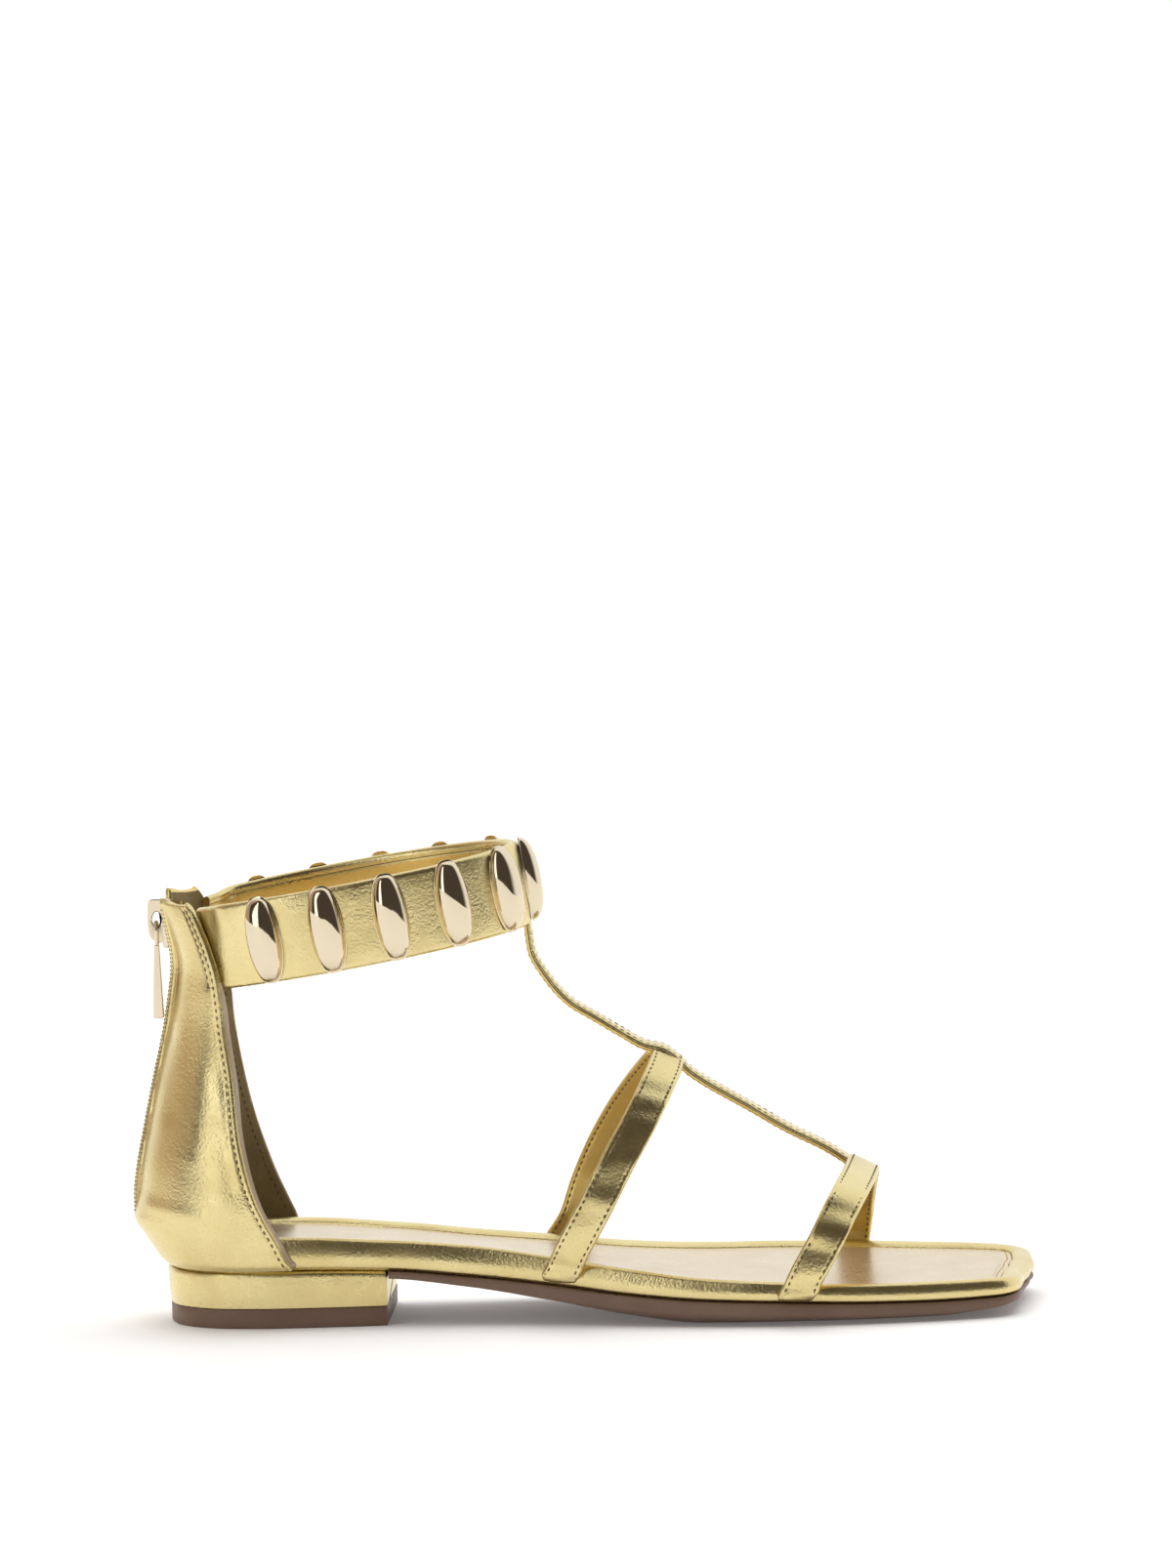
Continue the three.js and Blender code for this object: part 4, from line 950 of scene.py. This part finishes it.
def strapFoot(side, share):
    rim = sole["back"] + sole["length"] * share
    height = float(rimHeightAt(rim, outlineSide(side, [rowAt(side, rim)])[0][0, 1]))
    top = float(bedAt(rim)) + 0.82 * height
    away = sole["gap"] + strap["thickness"] / 2
    lowest = float(bedAt(rim - strap["lean"] * height - strap["width"] / 2))

    def station(inset, z, down):
        point, out = outlineSide(side, [rowAt(side, rim - strap["lean"] * (top - z))], inset)
        return (*point[0], z, *out[0], -down)

    return [station(0.4 * strap["thickness"], lowest + 0.6 * strap["thickness"], 1),
            station(-0.75 * away, lowest + 0.95 * strap["thickness"], 0.25),
            station(-away, top - 0.27 * height, 0), station(-away, top, 0)]


def crossRoute(name, crown):
    outerFoot, innerFoot, rows = crossRows[name]
    free = []
    for x, y, z in rows:
        rise = max(z - strap["axis"], 0)
        free.append((sole["back"] + sole["length"] * x, sole["ballWidth"] * y, crown * z,
                     strap["tilt"] * rise, y, rise))
    return smoothRoute(strapFoot("outer", outerFoot) + free + strapFoot("inner", innerFoot)[::-1])


instepCrown = float(smoothTable(centreRows[2:, 0], centreZ[2:])(strap["instepShare"])) \
    - strap["thickness"] + strap["seam"]
routes = {"centre": centreRoute(), "instep": crossRoute("instep", instepCrown),
          "toe": crossRoute("toe", centreZ[-1] + strap["thickness"] * 0.4)}


def strapFrames(places, normals, feet):
    ahead = unit(np.gradient(places, axis=0))
    up = unit(normals - ahead * (normals * ahead).sum(-1, keepdims=True))
    across = np.cross(ahead, up)
    run = lengthAlong(places)
    if feet:
        # The ends of a cross strap are cut along the footbed's slope
        level = across * (1, 1, 0)
        level[:, 2] = level[:, 0] * (bedAt(places[:, 0] + 2) - bedAt(places[:, 0] - 2)) / 4
        level = unit(level)
        level = level / np.abs((level * across).sum(-1, keepdims=True))
        share = smoothStep(13, 5, np.minimum(run, run[-1] - run))[:, None]
        across = across + (level - across) * share
    return run, up, across


def strapProfile(width, thickness):
    # Outer layer, folded edge, a fine seam between the layers, lining
    w, t = width / 2, thickness / 2
    fold = t * 0.92
    half = [(w - 0.22, 0.0), (w - 0.03, 0.16)]
    half += [(w - fold + fold * math.cos(a), t - fold + 0.08 + (fold - 0.08) * math.sin(a))
             for a in np.linspace(0.25, math.pi / 2, 6)]
    top = []
    for a in np.linspace(w - fold - 0.1, -(w - fold - 0.1), 25):
        dent = 0.13 * math.exp(-((abs(a) - (w - strap["stitchInset"])) / 0.36) ** 2)
        crown = 0.14 * (1 - (a / w) ** 2)
        top.append((a, t + crown - dent))
    upper = half + top + [(-a, b) for a, b in half[::-1]]
    lower = [(a, -b) for a, b in upper[::-1][1:-1]]
    return np.array(upper + lower), len(upper)


def makeStrap(name, route, creases, feet):
    places, normals = route
    run, up, across = strapFrames(places, normals, feet)
    profile, upperCount = strapProfile(strap["width"], strap["thickness"])
    spots = np.stack(np.broadcast_arrays(run[:, None], profile[None, :, 0]), -1)
    lift = creaseField(spots, creases) * (profile[None, :, 1] > 0)
    high = profile[None, :, 1] + lift
    points = places[:, None] + across[:, None] * profile[None, :, :1] + up[:, None] * high[..., None]
    rows, columns = points.shape[:2]
    faces = gridFaces(rows, columns, wrap=True)
    seamFaces = (0, upperCount - 2, upperCount - 1, columns - 1)
    slots = [2 if k % columns in seamFaces else int(upperCount <= k % columns < columns - 1)
             for k in range(len(faces))]
    faces += [list(range(columns)), list(range((rows - 1) * columns, rows * columns))]
    piece = makeMesh(name, points.reshape(-1, 3), faces, [goldLeather, goldLining, edgePaint], 45,
                     slots + [0, 0])
    return finishPiece(piece, "gold_leather", "upper")


strapCreases = {
    "centre": [((45, -5), (49, 5), 2.2, -0.16), ((96, -5), (92, 5), 2.0, -0.14),
               ((120, -5), (123, 5), 3.0, 0.12)],
    "instep": [((21, -5), (25, 5), 3.0, -0.25), ((29, -5), (32, 5), 3.4, -0.45),
               ((37, -5), (42, 5), 3.6, 0.55), ((46, -5), (49, 5), 2.6, -0.25),
               ((54, -5), (57, 5), 2.6, -0.35), ((62, -5), (64, 5), 3.0, -0.3)],
    "toe": [((14, -5), (18, 5), 2.6, -0.3), ((20, -5), (25, 5), 3.2, 0.5),
            ((28, -5), (31, 5), 2.6, -0.35), ((36, -5), (40, 5), 3.0, 0.25)]}
for key in routes:
    makeStrap(key + "Strap", routes[key], strapCreases[key], key != "centre")
print("straps made")

# Stitches: distance from one to the next, and length, width and height of one
stitches = {"strap": {"pitch": 2.0, "size": (1.3, 0.56, 0.4)},
            "quarter": {"pitch": 2.1, "size": (1.35, 0.55, 0.44)},
            "sock": {"pitch": 2.3, "size": (1.5, 0.5, 0.36)},
            "zip": {"pitch": 1.15, "size": (0.7, 0.42, 0.34)}}


def strapStitchLines():
    lines = []
    for key, (places, normals) in routes.items():
        run, up, across = strapFrames(places, normals, key != "centre")
        side = strap["width"] / 2 - strap["stitchInset"]
        shown = (run > 4) & (run < run[-1] - 4) if key != "centre" else (run > 8) & (run < run[-1] - 3)
        for sign in (-1, 1):
            for face in (1, -1):
                high = strap["thickness"] / 2 - 0.05
                line = places + across * side * sign + up * high * face
                lines.append((line[shown], (up * face)[shown]))
    return lines


def quarterStitchLines():
    lines = []
    first, apart = counter["stitchInset"], counter["secondRow"]
    for outside, inside, normal, fromZip, fromFront in quarters.values():
        lines.append(insetLine(outside, normal, fromFront, first, low=18, high=115.5))
        lines.append(insetLine(inside, -normal, fromFront, first, low=27, high=115.5))
        lines.append(insetLine(outside, normal, fromFront, first + apart, low=95, high=115))
        turn = [insetLine(outside, normal, fromFront, first + share * apart, low=94)
                for share in (0.05, 0.5, 0.95)]
        lines.append(tuple(np.array([line[part][0] for line in turn]) for part in (0, 1)))
    return lines


def sockStitchLine():
    ring = outlineRing(sock["stitchInset"] - 0.15, 0, lambda x, y: sockHeight(x, y) - 0.1)
    closed = np.concatenate([ring, ring[:1]])
    return [(closed, np.tile((0, 0, 1.0), (len(closed), 1)))]


repeatAlong("strapStitches", stitchTree, strapStitchLines(), thread, "gold_leather", stitches["strap"])
repeatAlong("quarterStitches", stitchTree, quarterStitchLines(), thread, "gold_leather", stitches["quarter"])
zipLines = []
for outside, inside, normal, fromZip, fromFront in quarters.values():
    for inset in (0.5, 1.35):
        zipLines.append(insetLine(outside, normal, fromZip, inset, low=31, high=115))
repeatAlong("zipStitches", stitchTree, zipLines, thread, "gold_leather", stitches["zip"])
repeatAlong("sockStitches", stitchTree, sockStitchLine(), goldLining, "gold_lining", stitches["sock"])
print("stitches made")

# Zip: tape, teeth, slider and pull
zipper = {"bottom": 30.3, "top": 103.9, "tapeWidth": 4.4, "pitch": 1.35, "tooth": (0.85, 2.0, 1.3),
          "step": 0.9}


def backX(z):
    share = (np.asarray(z, float) - sole["seatHeight"]) / counter["height"]
    return counterPoint(share, np.zeros_like(z))[..., 0]


def makeZip():
    z = np.linspace(zipper["bottom"], zipper["top"], 90)
    x = backX(z)
    half = zipper["tapeWidth"] / 2
    section = [(1.1, -half), (1.1, half), (1.7, half), (1.7, -half)]
    rings = [[(xx + a, b, zz) for a, b in section] for xx, zz in zip(x, z)]
    points = np.array(rings).reshape(-1, 3)
    faces = gridFaces(len(z), 4, wrap=True) + [[0, 1, 2, 3], [len(points) - k for k in (4, 3, 2, 1)]]
    finishPiece(makeMesh("zipTape", points, faces, taupeLining, 30), "champagne_metal", "zip_chain")
    line = np.stack([x + 0.75, z * 0, z], -1)
    lean = np.gradient(line, axis=0)
    facing = np.stack([-lean[:, 2], lean[:, 1], lean[:, 0]], -1)
    repeatAlong("zipTeeth", toothTree, [(line, facing)], zipMetal, "champagne_metal",
                {"pitch": zipper["pitch"], "size": zipper["tooth"], "sway": 0.0, "step": zipper["step"]},
                ("zip_chain",), smooth=False)


makeZip()


def roundedSection(width, depth, corner, steps=5):
    points = []
    for sx, sy, first in ((1, 1, 0), (-1, 1, 90), (-1, -1, 180), (1, -1, 270)):
        for angle in np.radians(first + np.linspace(0, 90, steps)):
            points.append((sx * (depth / 2 - corner) + corner * math.cos(angle),
                           sy * (width / 2 - corner) + corner * math.sin(angle)))
    return points


def stackSections(name, levels, material, at=(0, 0, 0)):
    # Levels from top to bottom: height, width across, depth, middle of the depth, corner radius
    rings = [[(at[0] + middle + a, at[1] + b, at[2] + z) for a, b in roundedSection(width, depth, corner)]
             for z, width, depth, middle, corner in levels]
    count = len(rings[0])
    points = np.array(rings).reshape(-1, 3)
    faces = gridFaces(len(rings), count, wrap=True)
    faces += [list(range(count)), list(range(len(points) - count, len(points)))]
    return makeMesh(name, points, faces, material, 40)


def joinPieces(name, parts):
    shape = bmesh.new()
    for part in parts:
        shape.from_mesh(part.data)
    mesh = bpy.data.meshes.new(name)
    shape.to_mesh(mesh)
    shape.free()
    mesh.materials.append(parts[0].data.materials[0])
    for part in parts:
        bpy.data.objects.remove(part)
    mesh.set_sharp_from_angle(angle=math.radians(40))
    return link(bpy.data.objects.new(name, mesh))


slider = {"bottom": 104.2, "depth": 2.4, "plate": 1.5, "soft": 0.22, "steps": 60,
          "body": [(13.8, 5.6, 1.5), (13.6, 6.4, 2.1), (13.1, 6.9, 2.4), (10.0, 7.0, 2.4), (6.0, 6.5, 2.4),
                   (2.0, 5.9, 2.4), (0.7, 5.7, 2.4), (0.2, 5.3, 2.1), (0.0, 4.7, 1.5)],
          "crown": [(-0.3, 13.2), (1.4, 13.5), (3.3, 13.4), (4.1, 12.6), (4.3, 10.5), (4.3, 7.0), (4.1, 4.4),
                    (3.5, 2.6), (2.2, 1.7), (-0.3, 1.2)],
          "hole": (1.75, 7.9, 1.25, 2.1)}
pull = {"pivot": (-32.907, 0.0, 110.969), "eye": (1.6, 3.45, 2.95), "wire": (0.58, 0.42), "steps": (56, 14),
        "tab": [(-5.9, 2.9, 1.1), (-6.15, 3.5, 1.45), (-7.0, 3.55, 1.55), (-16.0, 3.85, 2.25),
                (-25.7, 4.15, 2.95), (-26.2, 4.0, 2.8), (-26.4, 3.6, 2.4)]}


def evenCurve(points, count):
    points = np.array(points, float)
    run = lengthAlong(points)
    at = np.linspace(0, run[-1], count)
    return np.stack([smoothTable(run, points[:, k])(at) for k in range(2)], -1)


def makeSlider():
    face = float(backX(slider["bottom"])) - sole["gap"] - slider["depth"]
    middle = face + slider["depth"] / 2
    low = slider["bottom"]
    body = stackSections("sliderBody", [(low + z, width, depth, middle, 0.55)
                                        for z, width, depth in slider["body"]], champagne)
    wedge = stackSections("sliderWedge", [(low + z, 4.3, 3.6, middle + 2.6, 0.5) for z in (13.1, 0.7)],
                          champagne)
    steps = slider["steps"]
    outer = evenCurve(slider["crown"], steps)
    cx, cz, rx, rz = slider["hole"]
    spin = np.linspace(math.pi / 2 + 0.4, -1.5 * math.pi + 0.4, steps, endpoint=False)
    hole = np.stack([cx - rx * np.cos(spin), cz + rz * np.sin(spin)], -1)
    order = np.argmin(np.linalg.norm(hole - outer[0], axis=1))
    hole = np.roll(hole, -order, axis=0)
    if np.linalg.norm(hole[15] - outer[15]) > np.linalg.norm(hole[-15] - outer[15]):
        hole = np.roll(hole[::-1], 1, axis=0)
    half, soft = slider["plate"] / 2, slider["soft"]
    centre = outer.mean(0)
    inward = unit(centre - outer) * soft
    outward = unit(hole - np.array([cx, cz])) * soft
    rings = [(outer + inward, -half), (outer, -half + soft), (outer, half - soft), (outer + inward, half),
             (hole + outward, half), (hole, half - soft), (hole, -half + soft), (hole + outward, -half)]
    points = np.concatenate([np.column_stack([face - ring[:, 0], np.full(steps, y), low + ring[:, 1]])
                             for ring, y in rings])
    crown = makeMesh("sliderCrown", points, tubeFaces(len(rings), steps), champagne, 40)
    finishPiece(joinPieces("zipSlider", [body, wedge, crown]), "champagne_metal", "zip_slider")


def makePull():
    px, py, pz = pull["pivot"]
    tab = stackSections("pullTab", [(z, width, depth, 0, 0.3) for z, width, depth in pull["tab"]],
                        champagne, pull["pivot"])
    wide, high, drop = pull["eye"]
    (thick, thin), (long, sides) = pull["wire"], pull["steps"]
    turn = np.linspace(0, 2 * math.pi, long, endpoint=False)
    ring = np.stack([wide * np.sign(np.cos(turn)) * np.abs(np.cos(turn)) ** 0.55,
                     high * np.sign(np.sin(turn)) * np.abs(np.sin(turn)) ** 0.75 - drop], -1)
    out = unit(np.stack([np.cos(turn) / wide, np.sin(turn) / high], -1))
    points = []
    for spot, lean in zip(ring, out):
        for a in np.linspace(0, 2 * math.pi, sides, endpoint=False):
            across, up = spot + lean * thin * math.cos(a)
            points.append((px + thick * math.sin(a), py + across, pz + up))
    eye = makeMesh("pullEye", points, tubeFaces(long, sides), champagne, 60)
    finishPiece(joinPieces("zipPull", [tab, eye]), "champagne_metal", "zip_pull", body="pull")


makeSlider()
makePull()
print("zip made")


# Studio: white floor, a tall soft box left of the camera, a warm wall further left, a dark room in
# front, white behind, and a broad sun overhead that isn't mirrored
studio = {"white": 1.08, "box": (1.6, 1.6, 1.6, 1), "room": (0.07, 0.057, 0.048, 1),
          "wall": (0.48, 0.36, 0.27, 1), "roomEnd": (70, 100), "wallStart": (-72, -80),
          "wallEnd": (-118, -140), "boxLeft": (-50, -47), "boxRight": (-26, -29), "boxTop": (66, 62),
          "floor": 40000, "sunAim": (0, -0.12, -1), "sunSpread": 75.0, "sun": 1.75}


def makeFloor():
    size = studio["floor"]
    points = [(-size, -size, 0), (size, -size, 0), (size, size, 0), (-size, size, 0)]
    material, add = makeMaterial("paleFloor")
    place = add("ShaderNodeTexCoord").outputs["Object"]
    paper = add("ShaderNodeTexNoise", {"Vector": place, "Scale": 400.0, "Detail": 3.0})
    bump = add("ShaderNodeBump", {"Height": paper.outputs["Fac"], "Strength": 0.1, "Distance": 0.00005})
    surface = add("ShaderNodeBsdfPrincipled", {"Base Color": (0.93, 0.93, 0.93, 1), "Roughness": 0.7,
                                               "Normal": bump.outputs["Normal"],
                                               "Emission Color": (1, 1, 1, 1), "Emission Strength": 0.1})
    add("ShaderNodeOutputMaterial", {"Surface": surface.outputs[0]})
    makeMesh("floor", points, [(0, 1, 2, 3)], material)


def makeWorld():
    world = bpy.data.worlds.new("studio")
    scene.world = world
    world.use_nodes = True
    world.node_tree.nodes.clear()
    add = nodeTree(world.node_tree)
    toward = add("ShaderNodeSeparateXYZ", {0: add("ShaderNodeTexCoord").outputs["Generated"]}).outputs
    ahead = add("ShaderNodeMath", {0: toward["Y"], 1: -1.0}, operation="MULTIPLY")
    turn = add("ShaderNodeMath", {0: toward["X"], 1: ahead.outputs[0]}, operation="ARCTAN2").outputs[0]
    rise = add("ShaderNodeMath", {0: toward["Z"]}, operation="ARCSINE").outputs[0]

    def past(value, low, high):
        ramp = add("ShaderNodeMapRange", {"Value": value, "From Min": math.radians(low),
                                          "From Max": math.radians(high)}, interpolation_type="SMOOTHSTEP")
        return ramp.outputs[0]

    def both(first, second):
        return add("ShaderNodeMath", {0: first, 1: second}, operation="MULTIPLY").outputs[0]

    def lay(share, under, color):
        mixed = add("ShaderNodeMix", {"Factor": share, "A": under, "B": color}, data_type="RGBA")
        return mixed.outputs["Result"]

    tone = lay(past(turn, *studio["roomEnd"]), studio["room"], (1, 1, 1, 1))
    tone = lay(past(turn, *studio["wallStart"]), tone, studio["wall"])
    tone = lay(past(turn, *studio["wallEnd"]), tone, (1, 1, 1, 1))
    sides = both(past(turn, *studio["boxLeft"]), past(turn, *studio["boxRight"]))
    tone = lay(both(sides, past(rise, *studio["boxTop"])), tone, studio["box"])
    seen = add("ShaderNodeLightPath").outputs["Is Camera Ray"]
    shown = add("ShaderNodeMix", {"Factor": seen, "A": tone, "B": (1, 1, 1, 1)}, data_type="RGBA")
    surface = add("ShaderNodeBackground", {"Color": shown.outputs["Result"], "Strength": studio["white"]})
    add("ShaderNodeOutputWorld", {"Surface": surface.outputs[0]})


def makeSun():
    data = bpy.data.lights.new("overhead", "SUN")
    data.angle = math.radians(studio["sunSpread"])
    data.energy = studio["sun"]
    lamp = link(bpy.data.objects.new("overhead", data))
    lamp.visible_glossy = False
    lamp.rotation_mode = "QUATERNION"
    lamp.rotation_quaternion = Vector(studio["sunAim"]).to_track_quat("-Z", "Y")


makeFloor()
makeWorld()
makeSun()
scene.view_settings.view_transform = "Standard"
print("studio lit")
